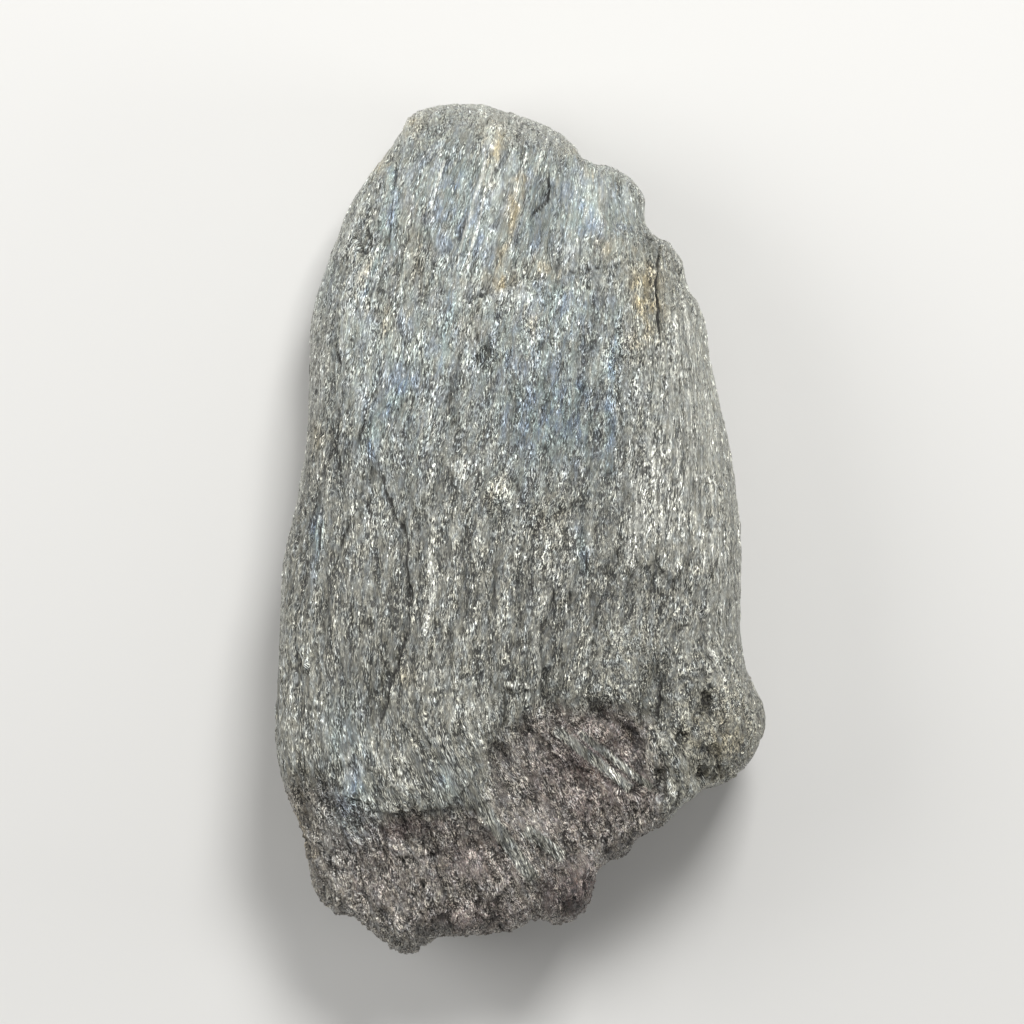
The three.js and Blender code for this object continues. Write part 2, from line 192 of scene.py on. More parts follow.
# Lean of the fibres at chosen places: sideways for each step towards the rounded end
LEANS = [
    (-2.3, 25.2, 0.45), (-6.1, 24.5, 0.4), (-9.1, 22.2, 0.3), (-11.8, 22, 0.35), (1.4, 26.7, 0.3),
    (4.4, 24.5, 0.2), (7.4, 22.2, 0.1), (5.2, 19.2, 0.03), (1.4, 20, 0.25), (-3.8, 19.2, 0.4),
    (-7.6, 17, 0.35), (-11.3, 14.7, 0.4), (-14.3, 17, 0.25), (-13.6, 9.5, 0.35), (-10.2, 8.7, 0.6),
    (-6.1, 11, 0.2), (-1.6, 11, 0.08), (2.9, 11, 0.1), (7.4, 12.5, 0), (11.2, 13.2, -0.05),
    (13.4, 14.7, -0.15), (12, 5.7, -0.03), (15, 5.7, -0.1), (16, -2.6, -0.05), (9, 2, 0),
    (5.2, 4.2, 0.1), (0.7, 4.2, 0.12), (-4.6, 5.7, 0.12), (-7.6, 5, 0.15), (-12.8, 2, 0.25),
    (-15.8, -2.6, 0.15), (-11.3, -2.6, 0.4), (-9.8, -7, 0.45), (-6.1, -2.6, 0), (-6.1, -7, 0.03),
    (-1.6, -5.6, -0.05), (2.9, -5.6, -0.05), (7, -6.3, 0.25), (12, -5.6, 0.05), (14.3, -9.7, -0.5),
    (12.7, -12.3, -0.2), (16.4, -13, 0.1), (9, -10, 0.1), (1.4, -10, -0.1), (-3.8, -11.6, -0.1),
    (-12.8, -11.6, 0.35), (-17.3, -13, 0), (-16.6, -20.6, -0.1), (-6.8, -19, -0.6), (-4, -18.4, -0.6),
    (-12, -18.3, 0.2), (-13.6, -22.8, -0.35), (-9, -25, -0.05), (-5.4, -25, -0.3), (-0.8, -22.8, -0.65),
    (3.9, -15.9, -1.1), (6.4, -18, -1.1), (2.9, -24.3, -0.65), (-1.6, -28, -0.4), (-8.3, -29.5, -0.1),
    (3.7, -28, -0.3),
]
LEAN_REACH = 2.0  # how far each of them holds

# Colour zones: middle, reach and strength of each patch
BLUE = [
    (-3, 23, 8, 7, 0.58), (4.4, 23.4, 5, 5, 0.5), (1, 12, 8, 8, 0.45), (-9, 12, 5, 9, 0.42),
    (2, 5, 6, 4, 0.3), (-4.8, 24.1, 2.2, 4.4, 0.68), (4.6, 23.2, 2.6, 2.8, 0.68),
    (-9.9, 22.6, 0.7, 4, 0.8), (2, 8, 4, 4, 0.85), (-15.2, -1, 0.6, 2.4, 0.75),
    (-12.6, -20.7, 1.5, 2.6, 0.7), (2.4, 16.2, 3.4, 2.4, 0.65), (-5.4, 14.4, 1, 3, 0.65),
    (4.4, 10.3, 1, 0.9, 0.7), (4.2, -1.4, 0.6, 2.2, 0.5), (-9.2, 10.2, 0.8, 2, 0.75),
    (-10.8, 6.8, 0.8, 1.8, 0.75), (6.6, 7.4, 0.6, 2.4, 0.6), (-5.4, -18.6, 0.9, 1.4, 0.55),
    (7, 15.6, 1.4, 1.8, 0.5), (-13, -15, 1.6, 3, 0.4), (-14.6, 18, 1.2, 3, 0.4),
]
OCHRE = [
    (-2, 29.2, 1.5, 1.6, 0.4), (1.8, 19, 0.9, 0.9, 0.65), (6.5, 20.5, 0.8, 0.7, 0.6),
    (9, 20.2, 1.3, 0.6, 0.5), (9.2, 16.6, 1.3, 3, 0.9), (-10.6, 26.8, 0.7, 1, 0.65),
    (-8, 30.2, 0.9, 0.9, 0.5), (-9.8, 15, 0.6, 2.4, 0.55), (3.8, 28, 0.6, 0.7, 0.5),
    (5, 26.4, 0.6, 0.6, 0.5), (6, 23.6, 0.6, 1.2, 0.4), (-8, 20.4, 1.8, 3.4, 0.35),
    (0.9, 15, 0.6, 1, 0.5), (-15.2, 6.4, 0.8, 1.4, 0.5), (-1.7, 2.8, 0.8, 0.9, 0.35),
    (-8.2, -10.6, 0.9, 1, 0.35), (-1.6, 18.2, 2.4, 0.7, 0.5), (8.6, 13.4, 1, 1, 0.45),
    (-3.6, 15, 0.9, 1.6, 0.3), (2.4, 1, 1.2, 2, 0.3), (-11.4, 18.6, 0.5, 1.2, 0.4),
    (-16.4, -23, 0.9, 4, 0.5), (14.6, -15.6, 3, 3.4, 0.4),
]
# Pale silvery patches; those along the left and right margins and on the lumps below the upper ledge also
# stand for painted sheen
PALE_AND_SHEEN = [
    (-4.4, 4, 0.8, 1.1, 0.15), (8.6, 1.6, 1.3, 4.4, 0.5), (12.6, 7, 3, 10, 0.45),
    (14.6, -4, 1.8, 6, 0.4), (-15.2, 12, 0.9, 6, 0.5), (-1, 16.8, 2, 0.7, 0.3),
    (-14, -23.4, 0.5, 2, 0.5), (0.4, 30.4, 4, 1.4, 0.4), (-6.4, -10.4, 1.4, 2, 0.35),
    (4.4, 20, 1.2, 1, 0.4), (-8.6, -18.4, 1.2, 1.4, 0.4), (-3, -13.6, 1.6, 2, 0.35),
    (2.6, -2, 1.6, 3, 0.3), (-1.6, 24, 1, 3.4, 0.35), (9.6, 4.4, 1.2, 2.4, 0.4),
    (-6.7, -4.6, 0.6, 3, 0.25),
]
PURPLE = [
    (5.2, -17.6, 5.2, 5.4, 0.65), (-8.4, -21.8, 3, 1, 0.8), (4, -27, 2.6, 2.6, 0.9),
    (-3, -28.6, 5, 1.6, 0.6), (-3, -24.5, 4, 3, 0.5), (-10, -25.4, 4, 3, 0.3),
]

# Patches that are lighter or darker than the rest: middle, reach and gain. Some are the stone's own tone;
# others are painted shade in pits and cracks, beside the knobs, under the ledge of the broken end and on the
# lower left side.
TONE_AND_SHADE_PATCHES = [
    (4, -27.6, 2.1, 2.1, -0.72), (-8.4, -21.9, 2.6, 0.7, -0.45), (-2.6, 12.4, 1.1, 0.5, -0.45),
    (-12, -6, 3, 5, -0.12), (0.6, -6, 4, 4, -0.21), (8, -5, 3, 3, -0.19), (-12.5, 7, 3, 4, -0.08),
    (10.3, -12, 0.7, 2, -0.45), (13.4, -13, 1, 0.8, -0.45), (-15.6, 1, 0.8, 2.4, -0.3),
    (4.7, 12.5, 0.9, 0.9, -0.12), (-5, -30, 6, 1, -0.25), (7.6, -24, 2, 1.2, -0.35),
    (9.9, 17.4, 0.5, 2.4, -0.25), (-12.4, 17.4, 2.6, 5, 0.16), (5.9, 23.4, 3, 2.6, 0.2),
    (10.8, 2.3, 2.4, 6, -0.05), (14.4, 1.2, 1.6, 9, 0.18), (1.8, 7.4, 4, 4, -0.19),
    (-3.1, -25.4, 4, 3, -0.12), (14.6, -15, 3, 3, -0.24), (4.6, -18, 5, 4, -0.08),
    (-16.4, -23, 1, 4, -0.4), (-13.7, 5, 0.9, 2, -0.3), (-6, -18, 3, 2.4, -0.14),
    (-6.5, 19.6, 1.2, 0.9, -0.25), (-3, 23.5, 5, 5, -0.14), (-1.6, 3, 2.6, 1.6, -0.1),
    (-11.6, 21.6, 0.6, 2, -0.25), (-5.5, 3.6, 0.5, 0.9, -0.3), (-3.1, 3.5, 0.3, 0.9, -0.4),
    (0.1, 2.6, 0.4, 0.8, -0.35),
]

# Long streaks of colour: path and half width
BLUE_STREAKS = [
    ([(-8.5, 10.8), (-9.7, 8.2), (-11.4, 5.6)], 0.75), ([(6.8, 14), (6.6, 9), (6.4, 4)], 0.5),
    ([(-15, 1.2), (-15, -2.6)], 0.4), ([(-5.2, 16.8), (-5.7, 11.8)], 0.6),
    ([(-9.6, 26.6), (-9.9, 21.4)], 0.4), ([(-10.4, 20.4), (-11.4, 17)], 0.4),
    ([(4.4, -0.4), (4.3, -3)], 0.4), ([(-12.2, -19), (-13, -22)], 0.7),
]
OCHRE_STREAKS = [
    ([(-0.2, 25.4), (-0.9, 21.6), (-1.9, 17.6)], 0.5), ([(-1.4, 29.6), (-2.3, 25.6)], 0.45),
]

# Thin silvery strands, some of them painted glints and painted highlights along lit edges of plates and
# ledges: path and half width
STROKES_AND_GLINTS = [
    ([(-2.6, 26.9), (-3.6, 23.4), (-4.8, 19.4)], 0.09),
    ([(-2.1, 26.4), (-3, 22.8), (-4.2, 18.8)], 0.08), ([(0.5, 27.6), (-0.4, 24.2)], 0.08),
    ([(1.9, 29), (1.1, 26)], 0.07), ([(-5.6, 27), (-6.6, 23.4)], 0.07),
    ([(9.6, 5.6), (9.7, 3), (9.9, 0.4)], 0.12), ([(10.1, 5.2), (10.2, 2), (10.4, -0.8)], 0.08),
    ([(9.1, 4.6), (9, 2), (9, -1)], 0.09), ([(8.4, 2.8), (8.5, 0.4), (8.2, -3)], 0.13),
    ([(10.7, 3.8), (10.9, -1.6)], 0.08), ([(7.9, 0.4), (7.8, -2.8)], 0.1),
    ([(11.4, 6), (11.7, 0)], 0.07), ([(12.4, 10), (13, 2)], 0.07), ([(13.8, 10), (14.6, 2)], 0.07),
    ([(12, 18), (12.8, 13)], 0.08), ([(11.4, 15.6), (11.9, 11)], 0.07),
    ([(1.1, -7.8), (1.5, -10.9), (0.8, -11.6), (-1, -11.4)], 0.11),
    ([(13.8, -9), (14.6, -10.4), (14.9, -11.4)], 0.13), ([(-12.4, 0.8), (-11, 0.5)], 0.1),
    ([(-6.7, -1.7), (-6.4, -4.3), (-6.9, -7.8)], 0.12), ([(-15, 4.8), (-15.1, 3.4)], 0.08),
    ([(3.1, -4.4), (3.3, -6.6)], 0.08), ([(-12.4, -2.6), (-12.9, -5.4)], 0.07),
    ([(-13.4, -8), (-14, -11)], 0.07),
]

# Patches of the face that are more grainy than fibrous
GRAINY = [
    (-0.6, 14.4, 2.6, 2.6, 0.8), (7.4, 12.4, 2, 2.6, 0.7), (-2.4, 2, 3, 2.6, 0.7),
    (1.6, -0.6, 1.6, 4, 0.6), (7.6, -9, 3, 3, 0.6), (-7.2, -16.6, 3, 3, 0.6), (-2, 29, 2.4, 1.4, 0.5),
    (-6.6, -5, 1, 4, 0.6), (8.4, 18, 1.6, 3, 0.5), (-1.4, 18.6, 3, 0.8, 0.7), (-6.6, 19.6, 1.4, 1, 0.7),
    (-3, -13.4, 3, 2, 0.5),
]

# Patches with long straight fibres and little relief, and those of them that are calm
STRAIGHT = [
    (-3, 23.5, 8, 6, 1), (5, 23, 5, 4.6, 0.8), (12.6, 6, 3.8, 11, 1), (-9.6, 12, 5, 8, 0.6),
    (14.8, -4, 2, 6, 0.9),
]
CALM = [
    (13.4, 7, 3, 10, 0.5), (5.6, 23.6, 4, 4, 0.45), (-3, 23, 6, 5, 0.25), (14.6, -5, 2, 5, 0.3),
]

# Patches with coarser splinters, and those with dark and bright specks
SPLINTERY = [(-1, -5, 5, 7, 0.5), (5, -3, 4, 6, 0.4), (-9, 20, 4, 5, 0.4)]
SPECKLED = [
    (-2.6, 12.4, 1.1, 0.6, 1.2), (-12, 20.6, 1.2, 3, 0.6), (-6.5, 19.6, 1.2, 0.9, 0.7),
    (7.4, 13, 1.6, 1.8, 0.6), (14.2, -13, 1.6, 1.1, 0.7), (-13.6, 5, 1, 2, 0.7),
    (0.4, 2, 2.6, 1.6, 0.5), (2, -2, 2, 4, 0.4), (10.6, -14.6, 1.2, 3, 0.6), (-2, -3, 3, 5, 0.3),
]

# Fine relief of the body: pitch across the fibres, length along them, and height of each size of splinter
SPLINTERS = [(3.0, 7, 0.17), (1.4, 3.6, 0.12), (0.7, 2.0, 0.08), (0.36, 1.0, 0.055)]
CRESTS = (0.36, 1.0, 0.05)  # and of the winding crests over them
CHIPS = [(2.2, 0.26), (1.0, 0.18), (0.5, 0.12), (0.28, 0.08)]  # width and height of each size of broken chip
EDGE_LOWERING = 0.1  # the relief is lowered by this much, so that it stays inside the solid's box
STEEP = 0.35  # ground whose direction points less than this upwards counts as a side

# Seeds that set the kinds of unevenness apart
RAGGED_X_SEED = 31
RAGGED_Y_SEED = 33
CRACK_SEED = 35
GAPING_SEED = 37
TURN_SEED = 39
SPLINTER_SEED = 40
CHIP_SEED = 60
CREST_SEED = 70
STROKE_SEED = 82
SIZE_STEP = 5  # from one size of splinter or chip to the next
FIBRE_SEED = 7
GRAIN_SEED = 8


def scatter(column, row, seed):
    """A repeatable number from 0 to 1 for each cell of a lattice."""
    mixed = (column * 73856093 ^ row * 19349663 ^ seed * 83492791) & 0xFFFFFFFF
    for _ in range(2):
        mixed = ((mixed ^ (mixed >> 16)) * 0x45D9F3B) & 0xFFFFFFFF
    return (mixed ^ (mixed >> 16)) / 0xFFFFFFFF


def smoothstep(value, low, high):
    share = np.clip((value - low) / (high - low), 0, 1)
    return share * share * (3 - 2 * share)


def cells(value):
    """The whole part of each value, as a lattice index, and what is left."""
    whole = np.floor(value).astype(np.int64)
    return whole, value - whole


def waves(a, b, seed):
    """Smooth unevenness from -1 to 1, with waves about one unit long."""
    column, right = cells(a)
    row, up = cells(b)
    right = smoothstep(right, 0, 1)
    up = smoothstep(up, 0, 1)
    low = scatter(column, row, seed) * (1 - right) + scatter(column + 1, row, seed) * right
    high = scatter(column, row + 1, seed) * (1 - right) + scatter(column + 1, row + 1, seed) * right
    return 2 * (low * (1 - up) + high * up) - 1


def splinters(across, along, pitch, length, seed):
    """Splinters side by side along the fibres, from about -1 to 1.

    Each has its own level, tilt and round back, and some are parted from the next by a slit.
    """
    column, side = cells(across / pitch + 0.45 * waves(across / (2 * pitch), along / length, seed))
    edge = np.abs(2 * side - 1)
    row, down = cells(along / length + 5 * scatter(column, 0, seed + 1) + 0.3 * edge)
    level = 2 * scatter(column, row, seed + 2) - 1
    tilt = 2 * scatter(column, row, seed + 3) - 1
    slit = scatter(column, row, seed + 4) ** 6
    parted = smoothstep(waves(across / pitch, 2 * along / length, seed + 5), -0.2, 0.6)
    return level + 0.8 * tilt * (down - 0.5) - 0.6 * parted * edge**4 - 1.8 * slit * edge**14


def ridged(a, b, seed):
    """Sharp winding crests about one unit apart, from -1 to 1."""
    return 1 - 2 * np.abs(waves(a, b, seed) + 0.3 * waves(2.3 * a, 2.3 * b, seed + 1))


def facets(a, b, seed):
    """Broken chips about one unit across, from about -1 to 1, each a tilted flat face."""
    column, row = cells(a)[0], cells(b)[0]
    nearest = np.full(a.shape, np.inf)
    height = np.zeros(a.shape)
    for step_a in (-1, 0, 1):
        for step_b in (-1, 0, 1):
            i, j = column + step_a, row + step_b
            off_a = a - i - scatter(i, j, seed)
            off_b = b - j - scatter(i, j, seed + 1)
            distance = off_a**2 + off_b**2
            lean_a = 2 * scatter(i, j, seed + 2) - 1
            lean_b = 2 * scatter(i, j, seed + 3) - 1
            level = 2 * scatter(i, j, seed + 4) - 1
            chip = 0.5 * level + 1.3 * (lean_a * off_a + lean_b * off_b)
            closer = distance < nearest
            nearest = np.where(closer, distance, nearest)
            height = np.where(closer, chip, height)
    return height


def bell(ratio):
    return np.exp(-ratio * ratio)


def unit(vectors):
    return vectors / np.maximum(np.linalg.norm(vectors, axis=-1, keepdims=True), TINY)


def blob(x, y, at_x, at_y, reach_x, reach_y):
    return bell(np.hypot((x - at_x) / reach_x, (y - at_y) / reach_y))


def path_offset(path, x, y):
    """Distance from a path, positive on its right hand, and how far a place lies past the path's ends."""
    nearest = np.full(x.shape, np.inf)
    offset = np.zeros(x.shape)
    past = np.zeros(x.shape)
    last = len(path) - 2
    for index, ((ax, ay), (bx, by)) in enumerate(zip(path, path[1:])):
        dx, dy = bx - ax, by - ay
        walked = ((x - ax) * dx + (y - ay) * dy) / (dx * dx + dy * dy)
        share = np.clip(walked, 0, 1)
        distance = np.hypot(x - ax - share * dx, y - ay - share * dy)
        side = np.where(dx * (y - ay) - dy * (x - ax) < 0, 1, -1)
        over = np.abs(walked - share) * math.hypot(dx, dy)
        at_end = ((walked < 0) & (index == 0)) | ((walked > 1) & (index == last))
        closer = distance < nearest
        nearest = np.where(closer, distance, nearest)
        offset = np.where(closer, side * distance, offset)
        past = np.where(closer, np.where(at_end, over, 0), past)
    return offset, past


def depth_inside(outline, x, y):
    """Depth of a place inside a closed outline, negative outside it."""
    within = np.zeros(x.shape, bool)
    for (ax, ay), (bx, by) in zip(outline, outline[1:] + outline[:1]):
        if ay != by:
            crossing = ax + (y - ay) / (by - ay) * (bx - ax)
            within ^= ((ay > y) != (by > y)) & (x < crossing)
    distance = np.abs(path_offset(outline + outline[:1], x, y)[0])
    return np.where(within, distance, -distance)


def smoothed(field, reach, axis, closed=False):
    """A field drawn smooth along an axis by a bell of that reach in cells. Open ends stay where they are."""
    field = np.moveaxis(field, axis, 0)
    size = math.ceil(3 * reach)
    weights = np.exp(-((np.arange(-size, size + 1) / reach) ** 2) / 2)
    weights /= weights.sum()
    before = field[-size:] if closed else 2 * field[0] - field[size:0:-1]
    after = field[:size] if closed else 2 * field[-1] - field[-2 : -size - 2 : -1]
    padded = np.concatenate([before, field, after])
    drawn = sum(weight * padded[step : step + len(field)] for step, weight in enumerate(weights))
    return np.moveaxis(drawn, 0, axis)


def tree_of(mesh):
    """The faces of a mesh, to find places on it."""
    points = [vertex.co for vertex in mesh.vertices]
    return BVHTree.FromPolygons(points, [polygon.vertices for polygon in mesh.polygons])


# The solid that carries the looks
solid = tree_of(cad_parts["specimen"].data)


def height_at(x, y):
    """Height of the solid's upper side at a place, or None beside the solid."""
    hit = solid.ray_cast(Vector((x, y, CLEAR)) * MM, Vector((0, 0, -1)))[0]
    return None if hit is None else hit.z / MM


def radius_at(angle, height):
    """Distance of the solid's side from the upright axis in one direction, or None past the solid."""
    away = Vector((math.cos(angle), math.sin(angle), 0))
    hit = solid.ray_cast((away * CLEAR + Vector((0, 0, height))) * MM, -away)[0]
    return None if hit is None else hit.xy.length / MM


def outline_radius(angle):
    """Reach of the solid's outline in one direction, seen from above."""
    low, high = 0.0, CLEAR
    while high - low > OUTLINE_GRAIN:
        middle = (low + high) / 2
        if height_at(middle * math.cos(angle), middle * math.sin(angle)) is None:
            high = middle
        else:
            low = middle
    return low


RING_ANGLES = np.linspace(-math.pi, math.pi, RING_POINTS, endpoint=False)
RING_RADII = np.array([outline_radius(angle) for angle in RING_ANGLES])
RING_RADII = smoothed(RING_RADII, RING_SMOOTH, 0, closed=True)


def rim_radius(angles):
    """Reach of the outline in some directions, from the points found on it."""
    return np.interp(angles, RING_ANGLES, RING_RADII, period=2 * math.pi)


class Edge:
    """One edge of the outline, from corner to corner."""

    def __init__(self, start, end):
        first = math.atan2(start[1], start[0])
        turn = math.atan2(end[1], end[0]) - first
        turn = (turn + math.pi) % (2 * math.pi) - math.pi
        angles = np.linspace(first, first + turn, RING_POINTS)
        radii = rim_radius(angles)
        self.points = np.stack([radii * np.cos(angles), radii * np.sin(angles)], -1)
        steps = np.linalg.norm(np.diff(self.points, axis=0), axis=1)
        self.shares = np.concatenate([[0], np.cumsum(steps)]) / steps.sum()

    def at(self, share):
        x = np.interp(share, self.shares, self.points[:, 0])
        y = np.interp(share, self.shares, self.points[:, 1])
        return np.stack([x, y], -1)

    def stand_off(self, share):
        """How far the edge stands off the straight line between its corners."""
        walked = share[..., None]
        return self.at(share) - self.points[0] * (1 - walked) - self.points[-1] * walked


left_edge = Edge(TOP_LEFT, LOW_LEFT)
right_edge = Edge(TOP_RIGHT, LOW_RIGHT)
top_edge = Edge(TOP_LEFT, TOP_RIGHT)
broken_edge = Edge(LOW_LEFT, LOW_RIGHT)


def place_in_outline(across, along):
    """Place of the fibre shares, across from the left edge and along from the rounded end."""
    aside, down = across[..., None], along[..., None]
    place = left_edge.at(along) * (1 - aside) + right_edge.at(along) * aside
    place += top_edge.stand_off(across) * (1 - down) ** END_HOLD
    return place + broken_edge.stand_off(across) * down**END_HOLD


def crowded(share):
    return share - EDGE_CROWDING * np.sin(2 * math.pi * share) / (2 * math.pi)


COLUMN_SHARES = crowded(np.linspace(0, 1, COLUMNS + 1))
UPPER_SHARES = np.linspace(0, LOWER_FROM, UPPER_ROWS, endpoint=False)
ROW_SHARES = crowded(np.concatenate([UPPER_SHARES, np.linspace(LOWER_FROM, 1, LOWER_ROWS + 1)]))


def kept_inside(place):
    """The places of the face's grid, drawn in where the outline has a notch, in order inwards."""
    rows, columns = np.indices(place.shape[:2])
    steps = np.minimum(np.minimum(rows, ROWS - rows), np.minimum(columns, COLUMNS - columns))
    limit = rim_radius(np.arctan2(place[..., 1], place[..., 0])) - NOTCH_STEP * np.minimum(steps, NOTCH_STEPS)
    return place * np.minimum(1, limit / np.hypot(place[..., 0], place[..., 1]))[..., None]


def face_grid(across, along):
    """The solid's fibrous face without its facets."""
    place = kept_inside(place_in_outline(across, along))
    heights = []
    for x, y in place.reshape(-1, 2) * FACE_INSET:
        height = height_at(x, y)
        if height is None:
            before = heights[-1] if heights else 0
            height = solid.find_nearest(Vector((x, y, before)) * MM)[0].z / MM
        heights.append(height)
    heights = np.array(heights).reshape(across.shape)
    heights = smoothed(smoothed(heights, FACE_SMOOTH[0], 1), FACE_SMOOTH[1], 0)
    return np.dstack([place, heights])


def around(grid):
    """The boundary of a grid, clockwise from its first corner."""
    return np.concatenate([grid[0, :-1], grid[:-1, -1], grid[-1, :0:-1], grid[:0:-1, 0]])


def side_rings(rim):
    """The solid's side, ring by ring from the rim down to the resting plane."""
    angles = np.arctan2(rim[:, 1], rim[:, 0])
    shares = np.arange(SIDE_RINGS + 1)[:, None] / SIDE_RINGS
    heights = rim[:, 2] * (1 - shares)
    radii = np.hypot(rim[:, 0], rim[:, 1]) * np.ones((SIDE_RINGS + 1, 1))
    for ring in range(1, SIDE_RINGS + 1):
        for index, angle in enumerate(angles):
            found = radius_at(angle, max(heights[ring, index], NEAR_REST))
            radii[ring, index] = found or radii[ring - 1, index]
    radii[1:] = smoothed(smoothed(radii, SIDE_SMOOTH[0], 1, closed=True), SIDE_SMOOTH[1], 0)[1:]
    return np.dstack([radii * np.cos(angles), radii * np.sin(angles), heights])


def way_down(sides):
    """Length of the way down the sides from the rim to each vertex."""
    steps = np.linalg.norm(np.diff(sides, axis=0), axis=2)
    return np.concatenate([np.zeros((1, steps.shape[1])), np.cumsum(steps, axis=0)])


CORNER_TURN = 9  # how quickly the sides turn at the corners of the outline, an odd power


def outwards(across, along):
    """Which way the sides face at each vertex of the rim, across and along the fibres."""
    aside = (2 * around(across) - 1) ** CORNER_TURN
    down = (2 * around(along) - 1) ** CORNER_TURN
    return np.stack([aside, down], -1) / np.hypot(aside, down)[:, None]


def end_share(across, along):
    """How much of the sides shows the ends of the fibres at each vertex of the rim."""
    return smoothstep(np.abs(outwards(across, along)[:, 1]), 0.4, 0.9)


def side_fibres(across, along, rim_fibre, sides):
    """Fibre coordinates of the sides, which run on outwards by the way down from the rim."""
    return rim_fibre + way_down(sides)[..., None] * outwards(across, along)


def measure_rim(face, fibre):
    """Measures the fibre coordinates anew over the steep cells at the face's boundary, going outwards."""
    for axis, coordinate in ((1, 0), (0, 1)):
        lines = np.moveaxis(face, axis, 0)
        values = np.moveaxis(fibre, axis, 0)[..., coordinate]
        steps = np.linalg.norm(np.diff(lines, axis=0), axis=-1)
        for cell in range(RIM_CELLS, 0, -1):
            values[cell - 1] = values[cell] - steps[cell - 1]
            values[-cell] = values[-cell - 1] + steps[-cell]


# Where each part of the body lies on its bake sheet: left, bottom, width and height, as shares of the sheet
FACE_SHEET = (0.005, 0.005, 0.455, 0.79)
SIDE_SHEETS = [
    (0.005, 0.805, 0.19, 0.15),
    (0.47, 0.005, 0.15, 0.79),
    (0.21, 0.805, 0.5, 0.15),
    (0.63, 0.005, 0.15, 0.79),
]
BACK_SHEET = (0.79, 0.005, 0.2, 0.36)


def on_sheet(sheet, u, v):
    left, bottom, width, height = sheet
    return np.stack([left + width * u, bottom + height * v], -1)


def sheet_of_slopes(right, up):
    """Heights of the sheet on a lattice whose slopes come closest to those given."""
    flow_x = np.pad((right[:, 1:] + right[:, :-1]) / 2, ((0, 0), (1, 1)))
    flow_y = np.pad((up[1:] + up[:-1]) / 2, ((1, 1), (0, 0)))
    spread = np.diff(flow_x, axis=1) + np.diff(flow_y, axis=0)
    mirrored = np.block([[spread, spread[:, ::-1]], [spread[::-1], spread[::-1, ::-1]]])
    bend_y, bend_x = (2 * np.cos(2 * math.pi * np.fft.fftfreq(size)) - 2 for size in mirrored.shape)
    bend = bend_y[:, None] + bend_x
    bend[0, 0] = 1
    heights = np.fft.ifft2(np.fft.fft2(mirrored) / bend).real
    return heights[: spread.shape[0], : spread.shape[1]]


class FibreMap:
    """Fibre coordinates of places seen from above: across and along the leaning fibres, over the solid."""

    STEP = 0.5  # of the lattice
    REACH_X, REACH_Y = 24.0, 38.0  # half its width and half its length
    STEEPEST = 2.5  # slope that counts in full
    EVENED = 1.0  # reach of the bell that evens the slopes, in steps

    def __init__(self):
        columns = np.arange(-self.REACH_X, self.REACH_X, self.STEP)
        rows = np.arange(-self.REACH_Y, self.REACH_Y, self.STEP)
        x, y = np.meshgrid(columns, rows)
        total = np.zeros(x.shape)
        lean = np.zeros(x.shape)
        for at_x, at_y, slope in LEANS:
            weight = 1 / ((x - at_x) ** 2 + (y - at_y) ** 2 + LEAN_REACH**2) ** 2
            total += weight
            lean += weight * slope
        lean /= total
        size = np.hypot(1, lean)
        heights = [height_at(*place) for place in zip(x.ravel(), y.ravel())]
        heights = np.array(heights, float).reshape(x.shape)
        over_x = self.way_over(heights)
        over_y = self.way_over(heights.T).T
        self.lane = sheet_of_slopes(over_x / size, -lean / size) * self.STEP
        self.along = sheet_of_slopes(-lean / size, -over_y / size) * self.STEP

    def way_over(self, heights):
        """Length of the way over the solid's upper side for each step along the rows of its heights."""
        steps = np.abs(np.diff(heights, axis=1)) / self.STEP
        slope = np.fmax(np.pad(steps, ((0, 0), (1, 0))), np.pad(steps, ((0, 0), (0, 1))))
        way = np.hypot(1, np.minimum(np.nan_to_num(slope), self.STEEPEST))
        return smoothed(smoothed(way, self.EVENED, 0), self.EVENED, 1)

    def at(self, points):
        column, right = cells((points[..., 0] + self.REACH_X) / self.STEP)
        row, up = cells((points[..., 1] + self.REACH_Y) / self.STEP)
        found = []
        for field in (self.lane, self.along):
            low = field[row, column] * (1 - right) + field[row, column + 1] * right
            high = field[row + 1, column] * (1 - right) + field[row + 1, column + 1] * right
            found.append(low * (1 - up) + high * up)
        return np.stack(found, -1)


class Faces:
    """Faces of one mesh, with the bake sheet and fibre coordinates of their corners."""

    def __init__(self):
        self.numbers, self.sheet, self.fibre = [], [], []

    def add(self, numbers, sheet, fibre):
        """Faces by their vertex numbers, with each corner's sheet place and each vertex's fibre place."""
        self.numbers.append(numbers.reshape(-1, numbers.shape[-1]))
        self.sheet.append(sheet.reshape(-1, 2))
        self.fibre.append(fibre[numbers].reshape(-1, 2))


def grid_corners(grid):
    """The four corners of each cell of a grid, counter-clockwise seen from above a sheet that runs down."""
    return np.stack([grid[:-1, :-1], grid[1:, :-1], grid[1:, 1:], grid[:-1, 1:]], 2)


